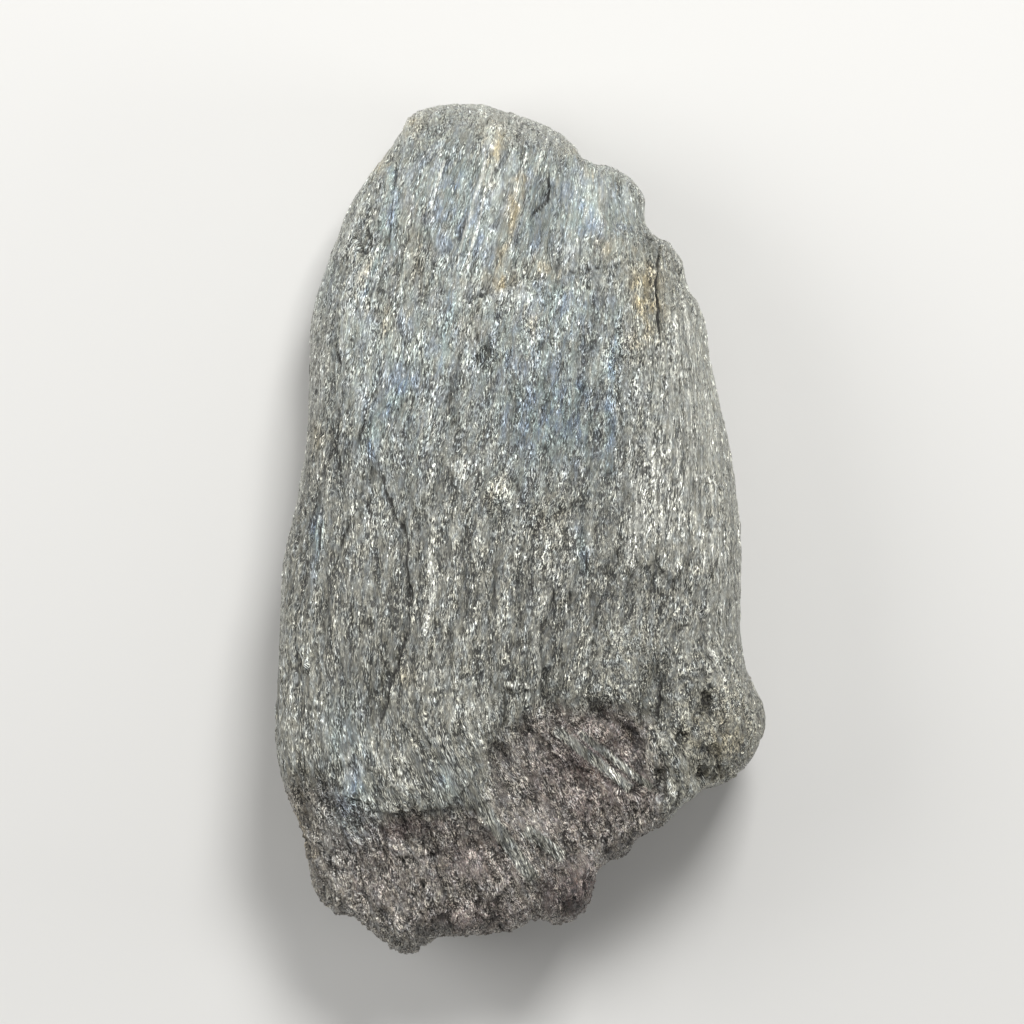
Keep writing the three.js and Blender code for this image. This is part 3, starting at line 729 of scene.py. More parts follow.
class Body:
    """The whole surface of the specimen, at first without its fine relief."""

    def __init__(self):
        across, along = np.meshgrid(COLUMN_SHARES, ROW_SHARES)
        face = face_grid(across, along)
        sides = side_rings(around(face))
        fibre_map = FibreMap()
        face_fibre = fibre_map.at(face)
        measure_rim(face, face_fibre)
        side_fibre = side_fibres(across, along, around(face_fibre), sides)
        back, middle = self.back_rings(sides[-1])

        blocks = [face, sides[1:], back, middle]
        self.points = np.concatenate([block.reshape(-1, 3) for block in blocks])
        back_fibre = fibre_map.at(np.concatenate([back.reshape(-1, 3), middle.reshape(-1, 3)]))
        blocks = [face_fibre, side_fibre[1:], back_fibre]
        self.fibre = np.concatenate([block.reshape(-1, 2) for block in blocks])

        numbers = np.arange(across.size).reshape(across.shape)
        side_numbers = across.size + np.arange(SIDE_RINGS * len(sides[0])).reshape(SIDE_RINGS, -1)
        self.grids = [numbers, side_numbers]
        self.from_rim = self.distances_from_rim(face, sides, len(back_fibre))
        self.end_on = np.zeros(len(self.points))
        self.end_on[across.size : -len(back_fibre)] = np.tile(end_share(across, along), SIDE_RINGS)

        self.faces = Faces()
        sheet = on_sheet(FACE_SHEET, across, 1 - along)
        self.faces.add(grid_corners(numbers), grid_corners(sheet), self.fibre)
        rings = np.vstack([around(numbers), side_numbers])
        self.add_sides(rings)
        self.add_back(rings[-1], rings.max() + 1, back.shape[:2])
        self.runs = np.zeros(self.points.shape)
        self.evenness = np.ones(len(self.points))
        self.find_runs(rings)
        self.find_runs(numbers)

    def distances_from_rim(self, face, sides, back_count):
        """Distance of each vertex from the outline, inwards on the face and down the sides."""
        rims = rim_radius(np.arctan2(face[..., 1], face[..., 0]))
        inwards = np.abs(rims - np.hypot(face[..., 0], face[..., 1]))
        down = way_down(sides)[1:]
        return np.concatenate([inwards.ravel(), down.ravel(), np.full(back_count, down.max())])

    def back_rings(self, rim):
        """The underside, ring by ring inwards from the rim, and its middle."""
        start = rim[::BACK_STEP]
        middle = start.mean(0)
        shares = np.arange(1, BACK_RINGS + 1)[:, None, None] / (BACK_RINGS + 1)
        return start * (1 - shares) + middle * shares, middle

    def find_runs(self, numbers):
        """Direction of the fibres at the vertices of a grid, along its lanes and away from the rounded end.

        The evenness is the ground that the fibre coordinates cover for each square millimetre of stone.
        It is about 1, and less where they are drawn out or folded.
        """
        lane_row, lane_column = np.gradient(self.fibre[numbers][..., 0])
        along_row, along_column = np.gradient(self.fibre[numbers][..., 1])
        points_row, points_column = np.gradient(self.points[numbers], axis=(0, 1))
        size = lane_row * along_column - lane_column * along_row
        size = np.where(np.abs(size) < TINY, TINY, size)
        run = points_column * (lane_row / size)[..., None] - points_row * (lane_column / size)[..., None]
        self.runs[numbers] = unit(run)
        area = np.linalg.norm(np.cross(points_row, points_column), axis=-1)
        self.evenness[numbers] = size * np.sign(np.median(size)) / np.maximum(area, TINY)

    def add_sides(self, rings):
        rings = np.concatenate([rings, rings[:, :1]], 1)
        first = 0
        for count, sheet in zip((COLUMNS, ROWS, COLUMNS, ROWS), SIDE_SHEETS):
            strip = slice(first, first + count + 1)
            u, v = np.meshgrid(np.linspace(0, 1, count + 1), np.linspace(1, 0, SIDE_RINGS + 1))
            if sheet[3] > sheet[2]:
                u, v = v, 1 - u
            place = on_sheet(sheet, u, v)
            turned = (0, 3, 2, 1)
            numbers = grid_corners(rings[:, strip])[:, :, turned]
            self.faces.add(numbers, grid_corners(place)[:, :, turned], self.fibre)
            first += count

    def add_back(self, rim, first, shape):
        """The underside: a seam from the rim to its coarser rings, the rings, and a fan round its middle."""
        rings = first + np.arange(shape[0] * shape[1]).reshape(shape)
        owner = (np.arange(len(rim)) + BACK_STEP // 2) // BACK_STEP % shape[1]
        seam = np.stack([rim, np.roll(rim, -1), rings[0][owner]], -1)
        turns = np.stack([rings[0], rim[BACK_STEP // 2 :: BACK_STEP], np.roll(rings[0], -1)], -1)
        fan = np.stack([rings[-1], np.roll(rings[-1], -1), np.full(shape[1], len(self.points) - 1)], -1)
        upper, lower = rings[:-1], rings[1:]
        cells_between = np.stack([upper, np.roll(upper, -1, 1), np.roll(lower, -1, 1), lower], -1)
        for numbers in (cells_between, seam, turns, fan):
            place = self.points[numbers][..., :2]
            low, high = self.points[:, :2].min(0), self.points[:, :2].max(0)
            share = (place - low) / (high - low)
            self.faces.add(numbers, on_sheet(BACK_SHEET, share[..., 0], share[..., 1]), self.points[:, :2])


def strongest(patches, x, y):
    """The strongest of several patches at each place."""
    value = np.zeros(x.shape)
    for at_x, at_y, reach_x, reach_y, strength in patches:
        value = np.maximum(value, strength * blob(x, y, at_x, at_y, reach_x, reach_y))
    return value


STREAK_STRENGTH = 0.8
STREAK_END = 0.8  # reach of a streak past its ends


def streaked(streaks, x, y):
    """How much of each place lies on one of several streaks."""
    value = np.zeros(x.shape)
    for path, width in streaks:
        offset, past = path_offset(path, x, y)
        value = np.maximum(value, STREAK_STRENGTH * bell(offset / width) * bell(past / STREAK_END))
    return value


# Painted shade in the grooves and painted light on the crests, from how far a place stands out of its
# surroundings: reach in columns and rows, and height
CREST_AND_GROOVE_SHADING = [(3.0, 1.2, 0.12), (10.0, 4.0, 0.3)]
WIDE_CRACK = 0.1  # half width from which a crack gapes all along
CRACK_TAPER = 1.2  # length over which a crack thins out to its ends
CRACK_END = 0.15  # reach of a crack past its ends
BLADE_EDGE = 0.06  # half the width over which a blade's edges rise
BLADE_END = 0.3  # and the width at its ends
RIM_FADE = 0.9  # how far from the outline the fine relief reaches its full height
RIM_RELIEF = 0.35  # share of it at the outline
# The pale rim is painted light along the edges of the face
RIM_LIGHT_WIDTH = 0.45  # width of the pale rim

# Uneven shifts of places, so that edges and cracks run ragged: size and length of each wave
RAGGED = [(0.4, 1.3), (0.2, 0.45)]
CRACK_SHAKE = [(0.08, 1.3), (0.09, 0.4)]

# Brightness of the stone and contrast of its markings along the face: place and value. The brightness is
# partly the stone's own tone and partly painted light, brightest towards the rounded end.
BRIGHTNESS = ([-32, -22, -14, -5, 5, 14, 22, 31], [1.19, 1.17, 1.02, 0.925, 0.945, 1.06, 1.14, 1.36])
CONTRAST = ([-14, -5, 5, 14, 31], [1.35, 1.4, 1.3, 1.15, 1.0])
# Lighter and darker bundles of fibres: width, length, gain and seed
BUNDLES = [(2.2, 5, 0.13, 38), (1.0, 3, 0.08, 83)]


def shaken(values, x, y, shake, seed):
    """Some values of places, shifted unevenly."""
    for wave, (size, length) in enumerate(shake):
        values = values + size * waves(x / length, y / length, seed + wave)
    return values


class Ground:
    """Relief and colour zones of places on the surface."""

    def __init__(self, body):
        x, y, _ = body.points.T
        lane, along = body.fibre.T
        ragged_x = shaken(x, x, y, RAGGED, RAGGED_X_SEED)
        ragged_y = shaken(y, x, y, RAGGED, RAGGED_Y_SEED)

        self.broken = smoothstep(depth_inside(FRACTURE, ragged_x, ragged_y), -0.9, 1.0)
        self.knob = smoothstep(blob(ragged_x, ragged_y, *KNOB), 0.3, 0.6)
        self.grainy = np.maximum(strongest(GRAINY, ragged_x, ragged_y), 0.85 * self.knob)
        self.crumbled = np.maximum(np.maximum(self.broken, body.end_on), 0.6 * self.knob)
        rough = np.maximum(self.crumbled, self.grainy)

        self.blade = self.blades(x, y)
        self.straight = np.maximum(strongest(STRAIGHT, ragged_x, ragged_y), self.blade)
        fine = self.fine_relief(lane, along, rough) * (1 - 0.8 * self.blade) * (1 - 0.4 * self.straight)
        fine *= 1 + 0.5 * strongest(SPLINTERY, ragged_x, ragged_y)
        at_rim = np.maximum(RIM_RELIEF, self.broken)
        fine *= at_rim + (1 - at_rim) * smoothstep(body.from_rim, 0, RIM_FADE)
        shake = shaken(0, x, y, CRACK_SHAKE, CRACK_SEED)
        deep = self.cracks(x + shake, y + shake)
        lumps = sum(
            height * smoothstep(blob(ragged_x, ragged_y, *place), 0.2, 0.65) for *place, height in LUMPS
        )
        self.relief = fine - deep + self.ledges(ragged_x, ragged_y) + lumps + BLADE_HEIGHT * self.blade
        # Painted light and shade from the relief: grooves darker, crests lighter
        self.crest_light_groove_shade = self.crest_light_and_groove_shade(body.grids)
        self.colours(x, y, ragged_x, ragged_y, body.from_rim)
        bundles = sum(
            gain * waves(lane / width, along / length, seed) for width, length, gain, seed in BUNDLES
        )
        # The stone's own tone together with painted light and shade: brighter and darker along the face, and
        # patches of painted shade
        self.tone = np.interp(y, *BRIGHTNESS) * (1 + bundles) * (1 - 0.28 * self.blade)
        for *place, gain in TONE_AND_SHADE_PATCHES:
            self.tone *= 1 + gain * blob(ragged_x, ragged_y, *place)
        self.contrast = np.interp(y, *CONTRAST)
        self.contrast += 0.2 * self.grainy + 0.25 * self.broken - 0.15 * self.blue
        self.contrast += strongest(SPECKLED, ragged_x, ragged_y) - strongest(CALM, ragged_x, ragged_y)
        # Markings are calmer where the fibre coordinates are drawn out or folded
        self.contrast *= 0.3 + 0.7 * smoothstep(body.evenness, 0.1, 0.5)

    def fine_relief(self, lane, along, rough):
        """Splinters and crests along the fibres, and chips where the ground is rough."""
        strands = sum(
            height * splinters(lane, along, pitch, length, SPLINTER_SEED + SIZE_STEP * size)
            for size, (pitch, length, height) in enumerate(SPLINTERS)
        )
        pitch, length, height = CRESTS
        strands = strands + height * ridged(lane / pitch, along / length, CREST_SEED)
        chips = sum(
            height * facets(lane / width, along / (2 * width), CHIP_SEED + SIZE_STEP * size)
            for size, (width, height) in enumerate(CHIPS)
        )
        return strands * (1 - 0.6 * rough) + chips * np.maximum(rough, 0.15)

    def crest_light_and_groove_shade(self, grids):
        """How far each place stands out of its surroundings, from 0 in a groove to 1 on a crest. It paints
        shade into the grooves and light onto the crests.
        """
        crest_light_groove_shade = np.full(self.relief.shape, 0.5)
        for numbers in grids:
            relief = self.relief[numbers]
            for columns, rows, height in CREST_AND_GROOVE_SHADING:
                around_it = smoothed(smoothed(relief, columns, 1), rows, 0)
                crest_light_groove_shade[numbers] += 0.5 * np.clip((relief - around_it) / height, -1, 1) / len(CREST_AND_GROOVE_SHADING)
        return crest_light_groove_shade

    def cracks(self, x, y):
        """Depth of the cracks. How much of each place lies in one is kept for the painted shade in the
        cracks.
        """
        self.crack = np.zeros(x.shape)
        deep = np.zeros(x.shape)
        gaping = 0.6 + 0.4 * smoothstep(waves(x / 0.5, y / 0.8, GAPING_SEED), -0.5, 0.3)
        for path, depth, width in CRACKS:
            offset, past = path_offset(path, x, y)
            from_ends = np.minimum(*[np.hypot(x - at_x, y - at_y) for at_x, at_y in (path[0], path[-1])])
            taper = 0.4 + 0.6 * smoothstep(from_ends, 0, CRACK_TAPER)
            share = bell(offset / (width * taper)) * bell(past / CRACK_END) * taper
            share *= np.maximum(gaping, min(1, width / WIDE_CRACK))
            self.crack = np.maximum(self.crack, share)
            deep = np.maximum(deep, depth * share)
        return deep

    def ledges(self, x, y):
        """What makes the solid's soft ledges sharp."""
        steps = np.zeros(x.shape)
        for path, height in LEDGES:
            offset, past = path_offset(path, x, y)
            sharper = smoothstep(offset, -SHARP_RUN, SHARP_RUN) - smoothstep(offset, -LEDGE_RUN, LEDGE_RUN)
            steps += height * sharper * bell(past / LEDGE_RUN)
        return steps

    def blades(self, x, y):
        """How much of each place lies on a blade."""
        blade = np.zeros(x.shape)
        for path, width in BLADES:
            offset, past = path_offset(path, x, y)
            share = smoothstep(width - np.abs(offset), -BLADE_EDGE, BLADE_EDGE)
            blade = np.maximum(blade, share * (1 - smoothstep(past, 0, BLADE_END)))
        return blade

    def colours(self, x, y, ragged_x, ragged_y, from_rim):
        """Shares of the colour zones, with the painted sheen of the margins and the painted rim light, and of
        the silvery strands and their painted glints.
        """
        ragged = (ragged_x, ragged_y)
        self.blue = np.maximum(strongest(BLUE, *ragged), streaked(BLUE_STREAKS, *ragged))
        self.ochre = np.maximum(strongest(OCHRE, *ragged), streaked(OCHRE_STREAKS, *ragged))
        self.purple = self.broken * (0.3 + 0.7 * strongest(PURPLE, *ragged)) * (1 - self.blade)
        self.stroke = streaked(STROKES_AND_GLINTS, x + 0.1 * waves(x / 0.8, y / 1.6, STROKE_SEED), y)
        # Painted light along the edges of the face, except at the broken end
        rim = 0.5 * bell(from_rim / RIM_LIGHT_WIDTH) * smoothstep(y, -14, -6)
        self.pale_and_painted_light = np.maximum(strongest(PALE_AND_SHEEN, *ragged), np.maximum(rim, 0.2 * self.blade))


def add_object(name, data):
    """A new object of the scene that shows some data."""
    made = bpy.data.objects.new(name, data)
    bpy.context.scene.collection.objects.link(made)
    return made


def read_vectors(items, name):
    """A vector of each of a mesh's items."""
    values = np.zeros(len(items) * 3, np.float32)
    items.foreach_get(name, values)
    return values.reshape(-1, 3).astype(float)


def inside_box(points):
    """Points, drawn in where they would leave the solid's box."""
    low, high = np.array(cad_box) / MM
    return np.clip(points, low, high)


def set_colours(mesh, name, channels):
    layer = mesh.attributes.new(name, "FLOAT_COLOR", "POINT")
    values = np.stack(np.broadcast_arrays(*channels), -1).astype(np.float32)
    layer.data.foreach_set("color", values.ravel())


def make_piece(name, points, faces, material):
    """A mesh object from points in millimetres and faces with their maps."""
    mesh = bpy.data.meshes.new(name)
    polygons = [row for numbers in faces.numbers for row in numbers.tolist()]
    mesh.from_pydata((points * MM).tolist(), [], polygons)
    for map_name, corners in (("OFBake", faces.sheet), ("Fibre", faces.fibre)):
        layer = mesh.uv_layers.new(name=map_name)
        layer.data.foreach_set("uv", np.concatenate(corners).astype(np.float32).ravel())
    mesh.polygons.foreach_set("use_smooth", np.ones(len(polygons), bool))
    mesh.materials.append(material)
    return add_object(name, mesh)


def linear(red, green, blue):
    """A colour given as it looks on a screen, 0 to 255, as a shader takes it."""
    shares = np.array([red, green, blue]) / 255
    return (*np.where(shares < 0.04045, shares / 12.92, ((shares + 0.055) / 1.055) ** 2.4).tolist(), 1.0)


OLIVE_GREY = linear(150, 150, 141)
DEEP_OLIVE = linear(118, 118, 111)
WARM_GREY = linear(150, 146, 130)
COOL_GREY = linear(136, 143, 145)
TEAL_GREY = linear(150, 166, 164)
BLUE_GREY = linear(123, 143, 166)
OCHRE_STAIN = linear(160, 147, 114)
SILVER_AND_HIGHLIGHT = linear(212, 212, 202)
PURPLE_BROWN = linear(122, 102, 101)
RED_BROWN = linear(108, 84, 76)
# Painted shade in the cracks
CRACK_SHADE = linear(44, 43, 40)


class Shader:
    """A material's node tree, built line by line."""

    def __init__(self, name):
        self.material = bpy.data.materials.new(name)
        self.material.use_nodes = True
        self.tree = self.material.node_tree
        self.surface = self.tree.nodes["Principled BSDF"]

    def put(self, socket, value):
        """Sets a socket to a constant, or links it to another node's socket."""
        if isinstance(value, bpy.types.NodeSocket):
            self.tree.links.new(value, socket)
        else:
            socket.default_value = value

    def add(self, kind, inputs=None, **settings):
        """A new node of a kind, with its inputs and settings."""
        made = self.tree.nodes.new("ShaderNode" + kind)
        for key, value in settings.items():
            setattr(made, key, value)
        for key, value in (inputs or {}).items():
            self.put(made.inputs[key], value)
        return made

    def attribute(self, name):
        return self.add("Attribute", attribute_name=name)

    def split(self, colour):
        return self.add("SeparateColor", {"Color": colour}).outputs

    def maths(self, operation, first, second=0.0):
        return self.add("Math", {0: first, 1: second}, operation=operation).outputs[0]

    def ranged(self, value, from_low, from_high, to_low=0.0, to_high=1.0):
        """A value, carried over from one range to another and kept within it."""
        limits = {"Value": value, 1: from_low, 2: from_high, 3: to_low, 4: to_high}
        return self.add("MapRange", limits).outputs[0]

    def blend(self, share, first, second):
        """The first colour, mixed towards the second by a share."""
        return self.add("Mix", {0: share, 6: first, 7: second}, data_type="RGBA").outputs[2]

    def noise(self, place, pitch, length, detail, shift):
        """Cloudy streaks, about a pitch wide and a length long."""
        stretch = {"Vector": place, "Scale": (1 / pitch, 1 / length, 1.0), "Location": (shift, shift, 0.0)}
        stretched = self.add("Mapping", stretch).outputs[0]
        settings = {"Vector": stretched, "Scale": 1.0, "Detail": detail, "Roughness": 0.6}
        return self.add("TexNoise", settings, noise_dimensions="2D").outputs[0]

    def vectors(self, operation, first, second):
        return self.add("VectorMath", {0: first, 1: second}, operation=operation).outputs[0]

    def wandering(self, place, pitch, length, reach):
        """The place, shifted a little to and fro, so that straight markings wander."""
        stretched = self.add("Mapping", {"Vector": place, "Scale": (1 / pitch, 1 / length, 1.0)}).outputs[0]
        settings = {"Vector": stretched, "Scale": 1.0, "Detail": 2.0}
        cloud = self.add("TexNoise", settings, noise_dimensions="2D").outputs["Color"]
        centred = self.vectors("SUBTRACT", cloud, (0.5, 0.5, 0.5))
        return self.vectors("ADD", place, self.vectors("MULTIPLY", centred, (reach, reach, 0.0)))

    def crest(self, value, width):
        """Thin lines where a cloudy value passes through its middle."""
        away = self.maths("ABSOLUTE", self.maths("SUBTRACT", value, 0.5))
        return self.ranged(away, 0.0, width, 1.0, 0.0)

    def choose(self, share, first, second):
        """The first number, mixed towards the second by a share."""
        return self.add("Mix", {0: share, 2: first, 3: second}, data_type="FLOAT").outputs[0]

    def product(self, first, *others):
        for other in others:
            first = self.maths("MULTIPLY", first, other)
        return first


# Cloudy markings of the stone, among them painted glints and the painted shade of gaps: width, length,
# detail, and a shift that sets each apart from the others
WIDE_STREAKS = (0.7, 4.0, 4.0, 3.0)
STREAKS = (0.3, 1.8, 3.0, 17.0)
PATCHES = (1.1, 2.0, 4.0, 77.0)
TINTS = (0.45, 0.9, 2.0, 41.0)
LONG_LINES = (0.15, 3.4, 2.0, 61.0)
WINDING = (0.12, 0.6, 1.0, 31.0)
STRANDS = (0.11, 2.2, 1.0, 47.0)
GLINTS_AND_GLOSS = (0.075, 0.4, 1.0, 53.0)
CRUMBS = (0.16, 0.26, 2.0, 91.0)
QUIET = (0.8, 2.4, 2.0, 23.0)
GAP_SHADE_LINES = (0.24, 1.5, 1.0, 13.0)
WANDER = (0.5, 1.3, 0.35)  # width, length and reach of the shifts that make them wander

# Thin lines: how far from a cloud's middle value they reach
LINE_WIDTH = 0.07
GAP_WIDTH = 0.035

# Brightness of the stone where each marking is weakest, and where it is strongest
GLINT_LINE_SHADES = (0.68, 1.82)
PAINTED_GLINT_SHADES = (0.48, 1.64)
STREAK_SHADES = (0.9, 1.1)
LONG_LINE_SHADES = (0.7, 1.3)
CREST_AND_GROOVE_SHADES = (0.64, 1.26)
GAP_SHADES = (1.07, 0.4)
QUIET_SHARES = (0.5, 1.6)  # share of the contrast in quiet patches, and in lively ones
DARKEST = 0.15

BUMP_DEPTH = 0.04


def alabandite_material():
    shader = Shader("alabandite")
    zones = shader.attribute("zones")
    blue, ochre, pale_and_painted_light = shader.split(zones.outputs["Color"])
    purple = zones.outputs["Alpha"]
    state = shader.attribute("ground")
    tone, crest_light_groove_shade, crack = shader.split(state.outputs["Color"])
    crumbled = state.outputs["Alpha"]
    finish = shader.attribute("finish")
    contrast, grainy, straight = shader.split(finish.outputs["Color"])
    stroke = finish.outputs["Alpha"]
    place = shader.wandering(shader.add("UVMap", uv_map="Fibre").outputs[0], *WANDER)

    wide = shader.noise(place, *WIDE_STREAKS)
    streak = shader.noise(place, *STREAKS)
    patch = shader.noise(place, *PATCHES)
    tint = shader.noise(place, *TINTS)
    lines = shader.noise(place, *LONG_LINES)
    # Short bright flecks along the fibres: painted glints in the colour, and glossier, more metallic spots
    glint_and_gloss = shader.noise(place, *GLINTS_AND_GLOSS)
    quiet = shader.noise(place, *QUIET)
    # Thin dark lines between the strands: painted shade in the gaps between the fibres
    gap_shade = shader.crest(shader.noise(place, *GAP_SHADE_LINES), GAP_WIDTH)
    rough = shader.maths("MAXIMUM", crumbled, grainy)
    ground = shader.choose(rough, shader.noise(place, *WINDING), shader.noise(place, *CRUMBS))
    ground = shader.choose(straight, ground, shader.noise(place, *STRANDS))
    # Thin bright winding lines along the fibres: the strands' own streaks, brightened as painted glints
    line = shader.crest(ground, LINE_WIDTH)

    colour = shader.blend(shader.ranged(wide, 0.35, 0.65), DEEP_OLIVE, OLIVE_GREY)
    colour = shader.blend(shader.ranged(tint, 0.5, 0.68, 0.0, 0.4), colour, WARM_GREY)
    colour = shader.blend(shader.ranged(tint, 0.5, 0.32, 0.0, 0.45), colour, COOL_GREY)
    blue_share = shader.product(blue, shader.ranged(streak, 0.32, 0.6, 0.25, 1.0))
    cool = shader.blend(shader.ranged(patch, 0.42, 0.62), TEAL_GREY, BLUE_GREY)
    colour = shader.blend(blue_share, colour, cool)
    ochre_share = shader.product(ochre, shader.ranged(patch, 0.38, 0.6, 0.15, 1.0))
    colour = shader.blend(ochre_share, colour, OCHRE_STAIN)
    # Pale silvery zones with painted sheen and painted rim light
    pale_and_light_share = shader.product(pale_and_painted_light, shader.ranged(streak, 0.4, 0.62))
    colour = shader.blend(pale_and_light_share, colour, SILVER_AND_HIGHLIGHT)
    # Silvery strands and painted glints
    colour = shader.blend(stroke, colour, SILVER_AND_HIGHLIGHT)
    earth = shader.blend(shader.ranged(patch, 0.45, 0.66), PURPLE_BROWN, RED_BROWN)
    # The purple-brown of the broken ground gives way where the painted glints of the lines are, so these stay
    # neutral
    earthy = shader.product(purple, shader.ranged(line, 0.0, 1.0, 1.0, 0.3))
    colour = shader.blend(earthy, colour, earth)

    shade = shader.product(
        shader.ranged(line, 0.0, 1.0, *GLINT_LINE_SHADES),
        shader.ranged(glint_and_gloss, 0.36, 0.68, *PAINTED_GLINT_SHADES),
        shader.ranged(streak, 0.3, 0.7, *STREAK_SHADES),
        shader.choose(straight, 1.0, shader.ranged(lines, 0.3, 0.7, *LONG_LINE_SHADES)),
        # painted shade in the grooves and painted light on the crests
        shader.ranged(crest_light_groove_shade, 0.1, 0.9, *CREST_AND_GROOVE_SHADES),
        shader.ranged(gap_shade, 0.0, 1.0, *GAP_SHADES),
    )
    contrast = shader.product(contrast, shader.ranged(quiet, 0.36, 0.64, *QUIET_SHARES))
    shade = shader.maths("ADD", shader.product(shader.maths("SUBTRACT", shade, 1.0), contrast), 1.0)
    shade = shader.product(shader.maths("MAXIMUM", shade, DARKEST), tone)
    shaded = shader.add("VectorMath", {0: colour, "Scale": shade}, operation="SCALE").outputs[0]
    # Painted shade in the cracks
    colour = shader.blend(shader.ranged(crack, 0.15, 0.7, 0.0, 0.92), shaded, CRACK_SHADE)

    bump = shader.maths("ADD", shader.maths("ADD", line, ground), glint_and_gloss)
    bumped = shader.add("Bump", {"Strength": 0.8, "Distance": BUMP_DEPTH * MM, "Height": bump}).outputs[0]

    shader.put(shader.surface.inputs["Base Color"], colour)
    shader.put(shader.surface.inputs["Roughness"], shader.ranged(glint_and_gloss, 0.3, 0.7, 0.6, 0.34))
    shader.put(shader.surface.inputs["Metallic"], shader.ranged(glint_and_gloss, 0.4, 0.7, 0.1, 0.5))
    shader.put(shader.surface.inputs["Normal"], bumped)
    return shader.material


def dress(piece):
    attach(piece, "root")


def relieved(body, ground, normals):
    """The body's points with their fine relief. Steep sides are only lowered, the resting face not at all."""
    lift = ground.relief - EDGE_LOWERING
    resting = body.points[:, 2] < NEAR_REST
    lift[resting] = 0
    lift = np.where(normals[:, 2] < STEEP, np.minimum(lift, 0), lift)
    return inside_box(body.points + normals * lift[:, None])


def make_body(body, ground, material):
    piece = make_piece("specimen_body", body.points, body.faces, material)
    mesh = piece.data
    points = relieved(body, ground, read_vectors(mesh.vertex_normals, "vector"))
    mesh.vertices.foreach_set("co", (points * MM).astype(np.float32).ravel())
    set_colours(mesh, "zones", (ground.blue, ground.ochre, ground.pale_and_painted_light, ground.purple))
    set_colours(mesh, "ground", (ground.tone, ground.crest_light_groove_shade, ground.crack, ground.crumbled))
    set_colours(mesh, "finish", (ground.contrast, ground.grainy, ground.straight, ground.stroke))
    mesh.update()
    dress(piece)
    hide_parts("specimen")
    return piece


# Loose fibres and grains set on the surface: how many, and their sizes
FIBRES = 2600
FIBRE_LENGTHS = (0.4, 1.7)
FIBRE_HALF_WIDTHS = (0.03, 0.055)
FIBRE_TURN = 0.14  # spread of their slant in radians
PATCH_TURN = 0.16  # slant that neighbours share
FIBRE_LIFT = (-0.05, 0.06)  # how far their tips stand off the stone
STATIONS = (-0.5, -0.2, 0.22, 0.5)  # tip, two rings and tip of each, as shares of its length
STATION_LIFTS = (1, 0.3, 0.3, 1)  # share of the lift at each
GRAINS = 2600
GRAIN_SIZES = (0.05, 0.14)  # half an edge
GRAIN_SHAPES = (0.5, 1.3)  # and the unevenness of the three edges
GRAIN_SKEW = 0.25
GRAIN_SINK = 0.04
MARKING_SPREAD = 40  # the markings of each small solid start somewhere in a square of this size
SHEET_MARGIN = 0.06  # of a small solid's square on the bake sheet
LOWEST_PICK = 0.5  # no small solid is set lower on the stone


class Surface:
    """The body's finished surface, to set small pieces on."""

    def __init__(self, piece, body, ground):
        mesh = piece.data
        self.centres = read_vectors(mesh.polygons, "center") / MM
        self.normals = read_vectors(mesh.polygons, "normal")
        self.areas = np.zeros(len(mesh.polygons), np.float32)
        mesh.polygons.foreach_get("area", self.areas)
        self.owner = np.array([polygon.vertices[0] for polygon in mesh.polygons])
        self.tree = tree_of(mesh)
        self.body, self.ground = body, ground

    def pick(self, rng, count, density):
        """Faces picked at random, by area and by a density for each vertex."""
        weight = self.areas * density[self.owner] * (self.centres[:, 2] > LOWEST_PICK)
        return rng.choice(len(weight), count, p=weight / weight.sum())

    def snap(self, points):
        """The nearest places of the surface, and its directions out of the stone there."""
        found = [self.tree.find_nearest(Vector(point) * MM) for point in points.reshape(-1, 3)]
        places = np.array([hit[0] for hit in found]) / MM
        outs = np.array([hit[1] for hit in found])
        return places.reshape(points.shape), outs.reshape(points.shape)


def sheet_cells(count):
    """Left and bottom of a small square of the bake sheet for each of several things, and its side."""
    row_length = math.ceil(math.sqrt(count))
    index = np.arange(count)
    return np.stack([index % row_length, index // row_length], -1) / row_length, 1 / row_length


def make_small(name, surface, picks, points, corners, local, fibre, tones, material):
    """One piece of many small closed solids. Corners and local sheet places are those of one solid."""
    count, size = points.shape[:2]
    faces = Faces()
    first = np.arange(count)[:, None, None] * size
    cell, side = sheet_cells(count)
    for numbers, places in zip(corners, local):
        inset = SHEET_MARGIN + (1 - 2 * SHEET_MARGIN) * np.array(places)
        sheet = cell[:, None, None] + side * inset
        faces.add(first + np.array(numbers), sheet, fibre.reshape(-1, 2))
    piece = make_piece(name, inside_box(points.reshape(-1, 3)), faces, material)
    piece.data.polygons.foreach_set("use_smooth", np.zeros(len(piece.data.polygons), bool))
    ground, owner = surface.ground, surface.owner[picks]
    # The small solids get a little painted crest light, no painted crack shade, and no silvery strands or
    # painted glints
    crest_light_groove_shade, crack, stroke = 0.75, 0.0, 0.0

    def spread(values):
        return np.repeat(values[owner], size)

    zones = (ground.blue, ground.ochre, ground.pale_and_painted_light, ground.purple)
    set_colours(piece.data, "zones", [spread(zone) for zone in zones])
    tones = np.repeat(ground.tone[owner] * tones, size)
    set_colours(piece.data, "ground", (tones, crest_light_groove_shade, crack, spread(ground.crumbled)))
    finish = (ground.contrast, ground.grainy, ground.straight)
    set_colours(piece.data, "finish", [spread(share) for share in finish] + [stroke])
    piece.data.update()
    dress(piece)


